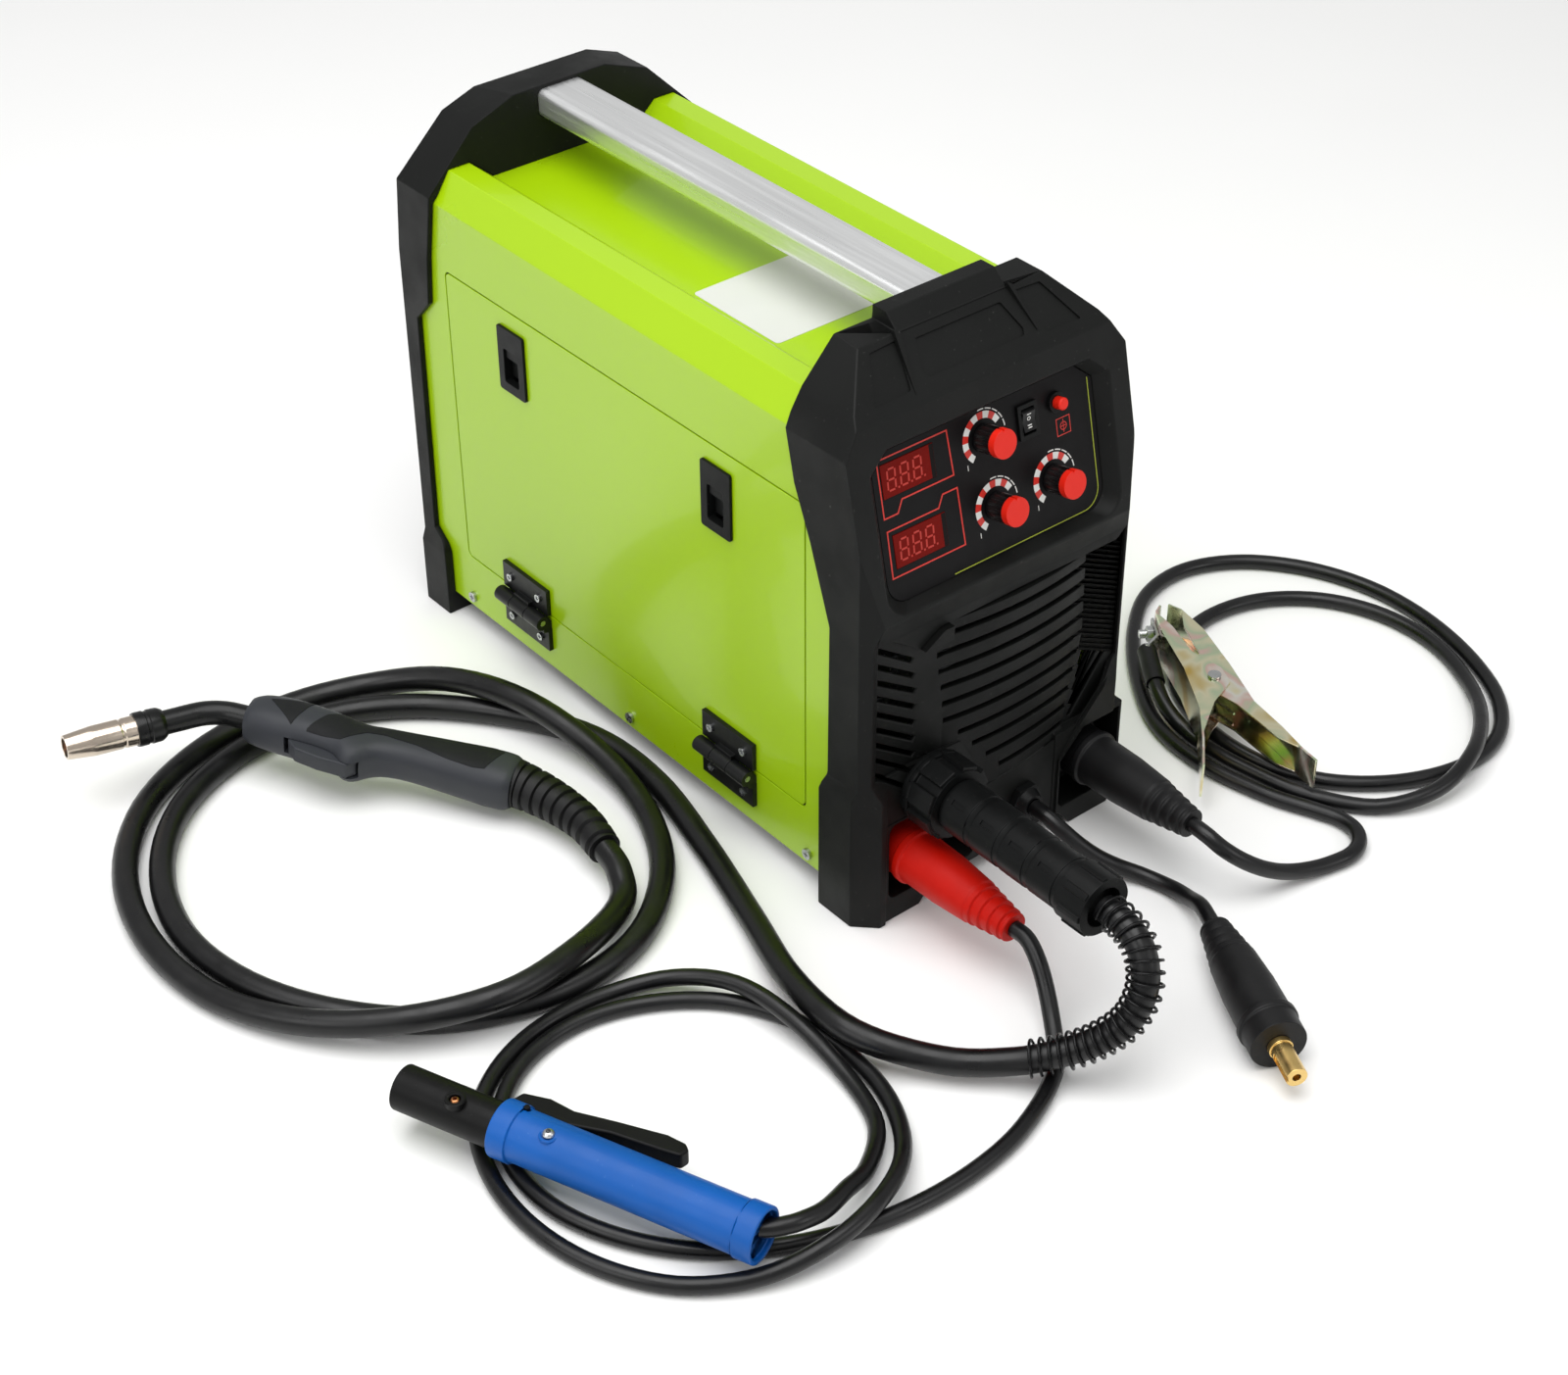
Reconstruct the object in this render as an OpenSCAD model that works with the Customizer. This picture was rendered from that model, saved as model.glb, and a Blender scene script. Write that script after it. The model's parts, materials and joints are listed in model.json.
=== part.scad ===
// Portable wire and stick welding machine with its leads.
// Millimetres. Origin on the floor under the middle, front towards -Y, up is +Z.
// Every node below is one piece, or one group of like pieces.

/* [Case] */
// Width across the steel cover
cover_w = 204.4; // [190:0.2:240]
// Thickness of the cover sheet
sheet_t = 1.5; // [1:0.1:2.5]
// Height of the cover's lower edge above the floor
cover_z = 16; // [12:0.5:24]
// Height of the cover's side folds above the floor
shoulder_z = 321; // [300:1:360]
// Rise of the two top rails above the side folds
rail_h = 19; // [12:1:26]
// Rise of the sunk tray above the side folds
tray_h = 5; // [2:0.5:10]
// Width of the flat of the sunk tray
tray_w = 114; // [90:1:130]
// Reach of the front moulding ahead of the middle
front_reach = 240; // [230:1:270]
// Reach of the rear moulding behind the middle
rear_reach = 231; // [220:1:260]
// Wall of the plastic mouldings
wall = 3; // [2.4:0.1:4]
// How far the mouldings stand proud of the cover at each side
proud = 4.2; // [3.6:0.1:6]
// Gap between pieces that are seated on each other
seat = 0.2; // [0.1:0.05:0.3]

/* [Handle] */
// Width of the carrying bar
bar_w = 35; // [28:1:42]
// Thickness of the carrying bar
bar_h = 19; // [14:0.5:24]
// Rounding of the bar's long edges
bar_r = 5; // [2:0.5:7]

/* [Door] */
// Length of the side door
door_l = 358; // [320:1:360]
// Height of the side door
door_h = 216.4; // [180:0.2:220]
// Height of the door's lower edge above the floor
door_z = 58.8; // [56:0.2:66]
// Gap round the door
door_gap = 1; // [0.6:0.1:2]
// Diameter of the hinge pins
hinge_pin_d = 4; // [3:0.5:5]
// Length of each hinge
hinge_l = 50; // [40:1:60]
// Distance of the hinges and latches from the door's middle
hinge_y = 108; // [90:1:120]
// Height of each latch
latch_h = 46; // [40:1:54]
// Length of each latch along the door
latch_w = 28; // [24:1:34]

/* [Control panel] */
// Tilt of the control panel from upright, in degrees
panel_tilt = 12.9; // [8:0.1:16]
// Depth of the panel below the moulding's face
panel_sink = 8; // [6:0.5:11]
// Diameter of the control knobs
knob_d = 17; // [14:0.5:20]
// Height of the control knobs
knob_h = 18; // [14:0.5:22]
// Diameter of the knob shafts
shaft_d = 6; // [5:0.5:7]
// Diameter of the gas and wire test button
button_d = 7.5; // [6:0.5:9]

/* [Sockets and plugs] */
// Height of the two lead sockets
socket_z = 44; // [40:0.5:48]
// Height of the torch socket
torch_z = 93; // [90:0.5:97]
// Diameter of the lead plugs' pins
pin_d = 13; // [10:0.5:14]
// Clearance round a pin in its socket
pin_gap = 0.3; // [0.2:0.05:0.5]
// Length of the torch plug behind the front face
torch_plug_l = 145; // [130:1:160]

/* [Wire feed] */
// Diameter of the wire spool
spool_d = 196; // [150:1:198]
// Width of the wire spool
spool_w = 50; // [40:1:52]
// Diameter of the spool's hub
hub_d = 50; // [40:1:52]
// Diameter of the drive roll
roll_d = 30; // [26:1:34]
// Running clearance of shafts in their bearings
run_gap = 0.05; // [0.03:0.01:0.08]

/* [Fan] */
// Width of the fan's frame
fan_w = 92; // [80:1:100]
// Depth of the fan's frame
fan_t = 25; // [20:1:30]
// Number of fan blades
fan_blades = 7; // [5:1:9]

/* [Leads] */
// Diameter of the torch lead
torch_lead_d = 16.6; // [14:0.2:18]
// Diameter of the stick, ground and polarity leads
lead_d = 10.3; // [9:0.1:11]
// Thickness of the lead spring's wire
spring_wire = 1.9; // [1.4:0.1:2.2]
// Number of curls on the lead spring
spring_curls = 24; // [16:1:26]

/* [Hidden] */
$fn = 48;

green = "#9ccb1c";
black = "#2b2c2d";
steel = "#b8bbbe";
red = "#e0402c";
brass = "#c9a44a";

half = cover_w / 2;
front_y = -front_reach;
rear_y = rear_reach;
rail_z = shoulder_z + rail_h;
tray_z = shoulder_z + tray_h;
rail_out = half - 12.9;
rail_in = half - 28.8;
case_front = front_y + 35;
case_rear = rear_y - 9;
shell_half = half + proud;
foot_half = shell_half + 2.6;
top_z = shoulder_z + 54;
arch_h = cover_z - wall - seat;
bar_top = top_z - 2.5;
bar_z = bar_top - bar_h;
bar_front = front_y + 69.5;
bar_rear = rear_y - 27;

// Offsets every edge of a closed outline, drawn anticlockwise, by d outwards.
function edge_normal(a, b) = let (e = b - a) [e[1], -e[0]] / norm(e);
function grow(p, d) = [for (i = [0:len(p) - 1])
    let (n = len(p),
         a = edge_normal(p[(i + n - 1) % n], p[i]),
         b = edge_normal(p[i], p[(i + 1) % n]))
    p[i] + (a + b) * d / (1 + a * b)];
function mirrored(p) = concat(p, [for (i = [len(p) - 1:-1:0]) [-p[i][0], p[i][1]]]);

module along_y(y0, y1) {
    translate([0, y1, 0])
        rotate([90, 0, 0])
            linear_extrude(y1 - y0)
                children();
}
module along_x(x0, x1) {
    translate([x0, 0, 0])
        rotate([90, 0, 90])
            linear_extrude(x1 - x0)
                children();
}
module rod_y(d, y0, y1) {
    translate([0, y1, 0])
        rotate([90, 0, 0])
            cylinder(d = d, h = y1 - y0);
}
module rod_x(d, x0, x1) {
    translate([x0, 0, 0])
        rotate([0, 90, 0])
            cylinder(d = d, h = x1 - x0);
}
module round_box(x, y, r) {
    for (i = [-1, 1], j = [-1, 1])
        translate([i * (x / 2 - r), j * (y / 2 - r)])
            circle(r);
    square([x, y - 2 * r], center = true);
    square([x - 2 * r, y], center = true);
}

// Section of the steel cover, as x and z.
case_outline = mirrored([[half, cover_z], [half, shoulder_z], [rail_out, rail_z],
    [rail_in, rail_z], [tray_w / 2, tray_z]]);

// ---- case ----

module base_pan() {
    inner = half - sheet_t - seat;
    pan_l = rear_panel_y - wall - seat - case_front - 1;
    color(steel)
        difference() {
            translate([-inner, case_front + 1, cover_z])
                cube([2 * inner, pan_l, 24]);
            translate([-inner + sheet_t, case_front + 1 + sheet_t, cover_z + sheet_t])
                cube([2 * (inner - sheet_t), pan_l - 2 * sheet_t, 30]);
            for (i = [-1, 1], y = side_screw_y)
                translate([0, y, side_screw_z])
                    rod_x(4.2, i * inner - 3, i * inner + 3);
            for (y = hinge_mid, j = [-1, 1])
                translate([-inner, y + j * hinge_screw_y, case_screw_z])
                    rod_x(3.2, -3, 3);
            for (x = socket_x)
                translate([x, 0, socket_z])
                    rod_y(26, case_front, case_front + 6);
            for (i = [0:7])
                translate([-60, -60 + i * 14, cover_z - 1])
                    cube([120, 4, 5]);
        }
}

side_screw_y = [case_front + 25, 0, case_rear - 42];
side_screw_z = cover_z + 8.4;
door_y = 2.5;
opening_l = door_l + 2 * door_gap;
opening_h = door_h + 2 * door_gap;

module case_cover() {
    inner = [for (p = grow(case_outline, -sheet_t)) [p[0], p[1] < 100 ? cover_z - 5 : p[1]]];
    color(green)
        difference() {
            along_y(case_front, case_rear)
                polygon(case_outline);
            along_y(case_front - 1, case_rear + 1)
                polygon(inner);
            translate([-half - 5, door_y, door_z + door_h / 2])
                along_x(0, 12)
                    round_box(opening_l, opening_h, 5);
            for (i = [-1, 1], y = side_screw_y)
                translate([0, y, side_screw_z])
                    rod_x(4.2, i * half - 3, i * half + 3);
            for (y = hinge_mid, j = [-1, 1])
                translate([-half, y + j * hinge_screw_y, case_screw_z])
                    rod_x(3.2, -3, 3);
        }
}

// Front moulding: side view as y and z, front view as x and z, plan as x and y.
bezel_side = [[0, 0], [43, 0], [43, 90], [38, 102], [37, 208], [54, 257], [68, 290],
    [75, shoulder_z], [77, shoulder_z + 9], [78.5, shoulder_z + 45.7], [57.5, shoulder_z + 45.1],
    [27, shoulder_z + 16.4], [24, shoulder_z + 3], [0.5, 221.5], [4.5, 207], [5, 108], [0, 96]];
function bezel_front(w, lift) = mirrored([[64 - lift, lift], [w + foot_half - shell_half, lift],
    [w + foot_half - shell_half, 96], [w, 104], [w, shoulder_z + 1.5],
    [w - 13.6, rail_z + 3], [w - 37.8, shoulder_z + 46]]);
bezel_plan = mirrored([[foot_half, 90], [foot_half, 13], [foot_half - 13, 0]]);

module bezel_form(d) {
    intersection() {
        translate([0, front_y, 0])
            along_x(-foot_half, foot_half)
                polygon(grow(bezel_side, -d));
        along_y(front_y - 1, front_y + 90)
            polygon(grow(bezel_front(shell_half, 0), -d));
        translate([0, front_y, -1])
            linear_extrude(top_z + 10)
                polygon(grow([for (i = [len(bezel_plan) - 1:-1:0]) bezel_plan[i]], -d));
    }
}

// Axes of the tilted control panel: x across, y up the slope, z out of it.
slope_z = shoulder_z + 3;
slope_y = front_y + 24;
module on_slope() {
    translate([0, slope_y, slope_z])
        rotate([90 - panel_tilt, 0, 0])
            children();
}
recess_mid = -52.5;
recess_half = shell_half - 14.9;
recess_r = 15;
recess_shape = concat([[-recess_half, 37.5]],
    [for (i = [-1, 1], a = [0:15:90]) let (b = i < 0 ? 180 + a : 270 + a)
        [i * (recess_half - recess_r) + recess_r * cos(b), recess_r - 50.5 + recess_r * sin(b)]],
    [[recess_half, 37.5], [recess_half - 14, 49.5], [-recess_half + 14, 49.5]]);
taper = 0.92;
panel_shape = [for (p = recess_shape) p * taper];
panel_t = 2;

// Badge face on top of the front moulding: x across, y up the slope, z out of it.
module on_badge() {
    translate([0, front_y + 27, shoulder_z + 16.4])
        rotate([43.3, 0, 0])
            children();
}

module grille_slot(x0, z0, x1, z1, w) {
    l = norm([x1 - x0, z1 - z0]);
    translate([x0, front_y - 3, z0])
        rotate([0, -atan2(z1 - z0, x1 - x0), 0])
            translate([0, 0, -w / 2])
                cube([l, 16, w]);
}

socket_x = [-69, 79.5];
torch_x = -58;
pocket_y = front_y + 22;

module front_bezel() {
    color(black)
        difference() {
            union() {
                difference() {
                    bezel_form(0);
                    bezel_form(wall);
                    // way in for the steel cover
                    along_y(case_front - 0.8, front_y + 90)
                        polygon(grow(case_outline, 0.3));
                    // sunk field round the grille
                    translate([0, front_y, 0])
                        along_y(0, 8)
                            polygon([[-97, 110], [-97, 213], [-65, 191], [-50, 200], [92, 200],
                                [99, 206], [99, 112], [63, 74], [-10, 66], [-30, 108]]);
                    // low step between the two feet
                    along_y(front_y - 1, front_y + 2)
                        polygon([[-91, -1], [50, -1], [50, 56], [63, 72], [101, 112], [-91, 112]]);
                }
                // back of the sunk field
                intersection() {
                    bezel_form(0);
                    along_y(front_y + 8, front_y + 8 + wall)
                        polygon([[-99, 60], [101, 60], [101, 208], [-99, 216]]);
                }
                // bowed middle of the grille
                intersection() {
                    translate([14, front_y + 278, 0])
                        difference() {
                            cylinder(r = 276, h = 260, $fn = 200);
                            translate([0, 0, -1])
                                cylinder(r = 272, h = 262, $fn = 200);
                        }
                    along_y(front_y - 2, front_y + 16)
                        polygon([[-65, 190], [-50, 199], [84, 199], [53, 67], [-8, 66], [-44, 108],
                            [-56, 140]]);
                }
                // pockets for the lead sockets
                translate([-91, front_y + 1.5, 13])
                    cube([76, pocket_y - front_y + wall - 1.5, 62.6]);
                translate([47, front_y + 1.5, 14])
                    cube([58, pocket_y - front_y + wall - 1.5, 62]);
                // tub behind the control panel
                on_slope()
                    translate([0, recess_mid, -panel_sink - panel_t - wall - seat])
                        linear_extrude(panel_sink + panel_t + wall - 2)
                            polygon(grow(recess_shape, 1.6));
                // raised block that holds the carrying bar
                translate([0, front_y, 0])
                    along_x(-41, 41)
                        polygon([[60, shoulder_z + 42], [78.5, shoulder_z + 42], [78.5, top_z],
                            [67, top_z], [57, shoulder_z + 44.5]]);
            }
            // arch under the front
            along_y(front_y - 1, front_y + 90)
                polygon(mirrored([[64, -1], [52, arch_h]]));
            // sunk control panel and its seat
            on_slope() {
                translate([0, recess_mid, -panel_sink])
                    linear_extrude(panel_sink + 2,
                        scale = 1 + (1 / taper - 1) * (panel_sink + 2) / panel_sink)
                        polygon(panel_shape);
                translate([0, recess_mid, -panel_sink - panel_t - seat])
                    linear_extrude(panel_t + seat + 0.01)
                        polygon(panel_shape);
                translate([0, recess_mid, -panel_sink - 30])
                    linear_extrude(40)
                        polygon(grow(panel_shape, -4));
                for (w = window_at)
                    translate([w[0], w[1], -panel_sink - 30])
                        linear_extrude(30)
                            square(window_size + [1, 1], center = true);
            }
            // badge plate and its side panels
            on_badge()
                translate([0, 0, -1.2]) {
                    linear_extrude(5)
                        polygon([[-36, 12], [36, 12], [38, 16], [32, 35], [-32, 35], [-38, 16]]);
                    for (i = [-1, 1])
                        linear_extrude(5)
                            polygon([[i * 51, 9], [i * 44, 38], [i * 64, 37], [i * 78, 8]]);
                }
            // grille slots
            for (i = [0:8])
                grille_slot(-95, 202 - i * 11.2, -68 + min(i, 2) * 1.5, 183 - i * 11.6, 3.2);
            for (i = [0:9])
                grille_slot(-50 + i * 1.6 + max(0, i - 5) * 9, 190 - i * 12.6,
                    81 - i * 2.7, 190 - i * 12.2, 3.6);
            for (i = [0:4])
                grille_slot(70 - 1.6 * i, 116 - 9 * i, 91 + 1.5 * i, 188 - 16 * i, 3.2);
            // socket pockets
            translate([-53, 0, 45.5])
                along_y(front_y - 2, pocket_y)
                    round_box(70, 56, 6);
            along_y(front_y - 2, pocket_y)
                polygon([[52, 20], [55, 17], [100, 17], [102.5, 20], [102.5, 72], [70, 72], [52, 54]]);
            for (x = socket_x)
                translate([x, 0, socket_z])
                    rod_y(24.4, pocket_y - 5, pocket_y + 10);
            translate([torch_x, 0, torch_z])
                rod_y(32.6, front_y - 3, front_y + 30);
            translate([polarity_x, 0, polarity_z])
                rod_y(gland_d + 2 * seat, front_y - 3, front_y + 30);
            // way in for the carrying bar
            translate([0, 0, bar_z + bar_h / 2])
                along_y(bar_front - seat, front_y + 90)
                    round_box(bar_w + 2 * seat, bar_h + 2 * seat, bar_r + seat);
        }
}

// Rear moulding.
rear_side = [[0, 0], [0, 18], [-1.5, 274.5], [-7, 328], [-9, top_z - 3], [-42, top_z],
    [-44, shoulder_z + 5.5], [-35.5, 280], [-32, 246], [-20, 233], [-17, 230], [-14, 65],
    [-25, 56], [-28, 50], [-28, 0]];
rear_front = mirrored([[foot_half, 0], [foot_half, 50], [shell_half, 58],
    [shell_half, shoulder_z + 5.5], [shell_half - 37, shoulder_z + 42],
    [36, top_z]]);

module rear_form(d) {
    intersection() {
        translate([0, rear_y, 0])
            along_x(-foot_half, foot_half)
                polygon(grow(rear_side, -d));
        along_y(rear_y - 60, rear_y + 1)
            polygon(grow(rear_front, -d));
    }
}
rear_panel_y = rear_y - 14;
fan_x = 38;
fan_z = 200;
inlet_x = 62;
inlet_z = 96;
mains_x = -62;
mains_z = 84;
power_x = -52;
power_z = 262;

module rear_cover() {
    color(black)
        difference() {
            union() {
                difference() {
                    rear_form(0);
                    rear_form(wall);
                    along_y(rear_y - 70, case_rear + 0.8)
                        polygon(grow(case_outline, 0.3));
                }
                // sunk rear panel
                along_y(rear_panel_y - wall, rear_y - 1)
                    polygon(mirrored([[half - 6, 30], [half - 6, 300], [half - 26, 318]]));
            }
            along_y(rear_panel_y, rear_y + 5)
                polygon(mirrored([[half - 9, 33], [half - 9, 299], [half - 27, 315]]));
            along_y(rear_y - 70, rear_y + 5)
                polygon(mirrored([[64, -1], [52, arch_h]]));
            // finger guard in front of the fan
            intersection() {
                translate([fan_x, 0, fan_z])
                    rod_y(fan_w - 6, rear_panel_y - 10, rear_panel_y + 5);
                for (i = [-6:6])
                    translate([fan_x - 50, rear_panel_y - 10, fan_z + i * 7 - 2.2])
                        cube([100, 20, 4.4]);
            }
            for (i = [0:5])
                translate([-80, rear_panel_y - 10, 140 + i * 12])
                    cube([56, 20, 4]);
            translate([inlet_x, 0, inlet_z])
                rod_y(12.4, rear_panel_y - 10, rear_panel_y + 5);
            translate([mains_x, 0, mains_z])
                rod_y(gland_d + 2 * seat, rear_panel_y - 10, rear_panel_y + 5);
            translate([power_x, 0, power_z])
                along_y(rear_panel_y - 10, rear_panel_y + 5)
                    square([27.4, 21.4], center = true);
            translate([0, 0, bar_z + bar_h / 2])
                along_y(rear_y - 60, bar_rear + seat)
                    round_box(bar_w + 2 * seat, bar_h + 2 * seat, bar_r + seat);
        }
}

module carry_handle() {
    color("#c9ccd0")
        translate([0, 0, bar_z + bar_h / 2])
            along_y(bar_front, bar_rear)
                difference() {
                    round_box(bar_w, bar_h, bar_r);
                    round_box(bar_w - 5, bar_h - 5, bar_r - 2);
                }
}

module screw(d, head, l) {
    // head outwards along +z, shank below, cross slot in the head
    difference() {
        cylinder(d = head, h = d * 0.55);
        for (a = [0, 90])
            rotate([0, 0, a])
                translate([-head * 0.3, -0.4, d * 0.25])
                    cube([head * 0.6, 0.8, d]);
    }
    translate([0, 0, -l])
        cylinder(d = d - 0.4, h = l + 0.1);
}

module case_screws() {
    color(black)
        for (i = [-1, 1], y = side_screw_y)
            translate([i * (half + 0.05), y, side_screw_z])
                rotate([0, i * 90, 0])
                    screw(4, 7.5, 6);
    color(steel)
        for (y = hinge_mid, j = [-1, 1])
            translate([-half - leaf_t - 0.15, y + j * hinge_screw_y, case_screw_z])
                rotate([0, -90, 0])
                    screw(3, 5.6, 6);
}

// ---- door and hinges ----

hinge_mid = [door_y - hinge_y, door_y + hinge_y];
hinge_z = door_z - 3.8;
hinge_x = -half - 6.8;
leaf_t = 3.2;
leaf_h = 22;
knuckle_d = 10.6;
hinge_screw_y = hinge_l / 2 - 9;
case_screw_z = hinge_z - 16;
door_screw_z = hinge_z + 15;
knuckle_l = hinge_l / 3;
leaf_foot = knuckle_d / 2 - 0.9;

// One leaf: a plate with an arm to its knuckles. Side -1 hangs down, 1 stands up.
module leaf(side, spans) {
    difference() {
        union() {
            translate([-half - leaf_t - 0.1, -hinge_l / 2, side > 0 ? leaf_foot : -leaf_h - 2])
                cube([leaf_t, hinge_l, side > 0 ? leaf_h + 2 - leaf_foot : leaf_h - 3.6]);
            for (s = spans)
                translate([0, s[0] + 0.2, 0]) {
                    translate([hinge_x, s[1] - 0.4, 0])
                        rotate([90, 0, 0])
                            cylinder(d = knuckle_d, h = s[1] - 0.4);
                    translate([hinge_x, 0, side > 0 ? 0 : -8])
                        cube([-half - 0.1 - hinge_x, s[1] - 0.4, 8]);
                }
        }
        translate([hinge_x, 0, 0])
            rod_y(hinge_pin_d + 2 * run_gap, -hinge_l, hinge_l);
        for (j = [-1, 1])
            translate([-half, j * hinge_screw_y, side > 0 ? 15 : -16])
                rod_x(3.2, -6, 1);
    }
}

module hinge_case_leaves() {
    color(black)
        for (y = hinge_mid)
            translate([0, y, hinge_z])
                leaf(-1, [[-hinge_l / 2, knuckle_l], [hinge_l / 2 - knuckle_l, knuckle_l]]);
}

module hinge_door_leaves() {
    color(black)
        for (y = hinge_mid)
            translate([0, y, hinge_z])
                leaf(1, [[-knuckle_l / 2, knuckle_l]]);
}

module hinge_pins() {
    color(steel)
        for (y = hinge_mid)
            translate([hinge_x, y, hinge_z])
                rod_y(hinge_pin_d, -hinge_l / 2 + 0.4, hinge_l / 2 - 0.4);
}

latch_z = door_z + door_h - 11.5 - latch_h / 2;
latch_y = [door_y - 100, door_y + 107];

module side_door() {
    color(green)
        difference() {
            union() {
                translate([-half, door_y, door_z + door_h / 2])
                    along_x(0, sheet_t)
                        round_box(door_l, door_h, 4);
                // stiffening return along the free edge
                translate([-half, door_y - door_l / 2 + 12, door_z + door_h - 3 - sheet_t])
                    cube([11, door_l - 24, sheet_t]);
            }
            for (y = latch_y)
                translate([-half - 5, y, latch_z])
                    along_x(0, 10)
                        square([latch_w - 5, latch_h - 5], center = true);
            for (y = hinge_mid, j = [-1, 1])
                translate([-half, y + j * hinge_screw_y, door_screw_z])
                    rod_x(3.2, -3, 3);
            for (y = latch_y)
                translate([-half + sheet_t + 0.05, y - latch_w / 2, door_z + door_h - 8])
                    cube([20, latch_w, 9]);
        }
}

latch_in = 10.6;
module latch_housings() {
    color(black)
        for (y = latch_y)
            translate([-half, y, latch_z])
                difference() {
                    union() {
                        along_x(-2.2, -0.1)
                            round_box(latch_w, latch_h, 2);
                        along_x(-1, latch_in)
                            square([latch_w - 5.4, latch_h - 5.4], center = true);
                        translate([sheet_t + 0.1, -latch_w / 2 + 1, latch_h / 2 - 8])
                            cube([latch_in - sheet_t - 0.1, latch_w - 2, 6.6]);
                    }
                    // finger pocket
                    translate([0, 0, -4])
                        along_x(-3, latch_in - 1.6)
                            round_box(15, 24, 1.5);
                    // way for the sliding bolt
                    translate([3.4, -7.2, -25])
                        cube([5.2, 14.4, 60]);
                }
}

// Sliding bolt: a finger tab in the pocket and a tongue behind the opening's edge.
module latch_slider(y) {
    color(black)
        translate([-half, y, latch_z]) {
            translate([3.5, -7, -14])
                cube([4.9, 14, latch_h / 2 + 14 + 2.2]);
            translate([-0.6, -7, 1])
                cube([6, 14, 6]);
            translate([3.5, -7, latch_h / 2 + 2.1])
                along_y(0, 14)
                    polygon([[0, 0], [4.9, 0], [4.9, 13.4], [3.2, 13.4], [0, 8.4]]);
        }
}
module latch_slider_front() {
    latch_slider(latch_y[0]);
}
module latch_slider_rear() {
    latch_slider(latch_y[1]);
}

module door_screws() {
    color(steel)
        for (y = hinge_mid, j = [-1, 1])
            translate([-half - leaf_t - 0.15, y + j * hinge_screw_y, door_screw_z])
                rotate([0, -90, 0])
                    screw(3, 5.6, 6);
}

// ---- front controls ----

face = -panel_sink;
knob_at = [[-2, -25], [1.2, -68], [46.5, -68]];
mode_at = [31.5, -26.5];
button_at = [54, -23];
window_at = [[-58.5, -24.7], [-56.2, -67.7]];
window_size = [39, 20.4];

module control_panel() {
    color(black)
        on_slope() {
            difference() {
                translate([0, recess_mid, face - panel_t])
                    linear_extrude(panel_t)
                        polygon(grow(panel_shape, -0.25));
                for (k = knob_at)
                    translate([k[0], k[1], face - 5])
                        cylinder(d = shaft_d + 2 * run_gap, h = 10);
                for (w = window_at)
                    translate([w[0], w[1], face - 5])
                        linear_extrude(10)
                            square(window_size + [0.4, 0.4], center = true);
                translate([mode_at[0], mode_at[1], face - 5])
                    linear_extrude(10)
                        square([12.4, 18.8], center = true);
                translate([button_at[0], button_at[1], face - 5])
                    cylinder(d = button_d + 2.4, h = 10);
            }
            // potentiometers behind the knobs
            for (k = knob_at)
                translate([k[0], k[1], face - panel_t - 8.1])
                    difference() {
                        cylinder(d = 16, h = 8);
                        translate([0, 0, 1.5])
                            cylinder(d = shaft_d + 2 * run_gap, h = 8);
                    }
        }
}

module meter_displays() {
    color(red)
        on_slope()
            for (w = window_at)
                translate([w[0], w[1], face - 8])
                    linear_extrude(8.3)
                        square(window_size, center = true);
}

module rocker_frame(w, h, lip, depth) {
    difference() {
        union() {
            translate([0, 0, 0.1])
                linear_extrude(2)
                    round_box(w + 2 * lip, h + 2 * lip, 1);
            translate([0, 0, -depth])
                linear_extrude(depth + 0.2)
                    square([w, h], center = true);
        }
        translate([0, 0, -depth + 1.5])
            linear_extrude(depth + 5)
                square([w - 2.4, h - 2.4], center = true);
        translate([0, 0, -2])
            rod_x(2 + 2 * run_gap, -w / 2 + 0.5, w / 2 - 0.5);
    }
}

module switch_frames() {
    color(black) {
        on_slope() {
            translate([mode_at[0], mode_at[1], face])
                rocker_frame(12, 18.4, 1.6, 14);
            translate([button_at[0], button_at[1], face - 6])
                difference() {
                    union() {
                        cylinder(d = button_d + 2, h = 8.2);
                        translate([0, 0, 6.1])
                            cylinder(d = button_d + 5, h = 2.6);
                    }
                    translate([0, 0, 1.5])
                        cylinder(d = button_d + 0.16, h = 20);
                }
        }
        translate([power_x, rear_panel_y, power_z])
            rotate([-90, 0, 0])
                rocker_frame(27, 21, 2, 14);
    }
}

// Knob turning on its shaft, with a pointer groove and a capped top.
module knob(at) {
    on_slope()
        translate([at[0], at[1], face]) {
            color(black)
                difference() {
                    union() {
                        translate([0, 0, 0.8])
                            cylinder(d = knob_d, h = knob_h - 5);
                        translate([0, 0, -panel_t - 6])
                            cylinder(d = shaft_d, h = panel_t + 8);
                    }
                    translate([-0.6, knob_d / 2 - 1, 1.6])
                        cube([1.2, 3, knob_h]);
                    for (i = [1:17])
                        rotate([0, 0, i * 20])
                            translate([knob_d / 2 + 0.3, 0, 2.4])
                                cylinder(d = 1.6, h = knob_h, $fn = 16);
                }
            color(red)
                translate([0, 0, knob_h - 4.1])
                    difference() {
                        cylinder(d = knob_d + 0.6, h = 4.8);
                        translate([-0.6, knob_d / 2 - 1, -1])
                            cube([1.2, 3, 8]);
                    }
        }
}
module speed_knob() {
    knob(knob_at[0]);
}
module current_knob() {
    knob(knob_at[1]);
}
module arc_knob() {
    knob(knob_at[2]);
}

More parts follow.
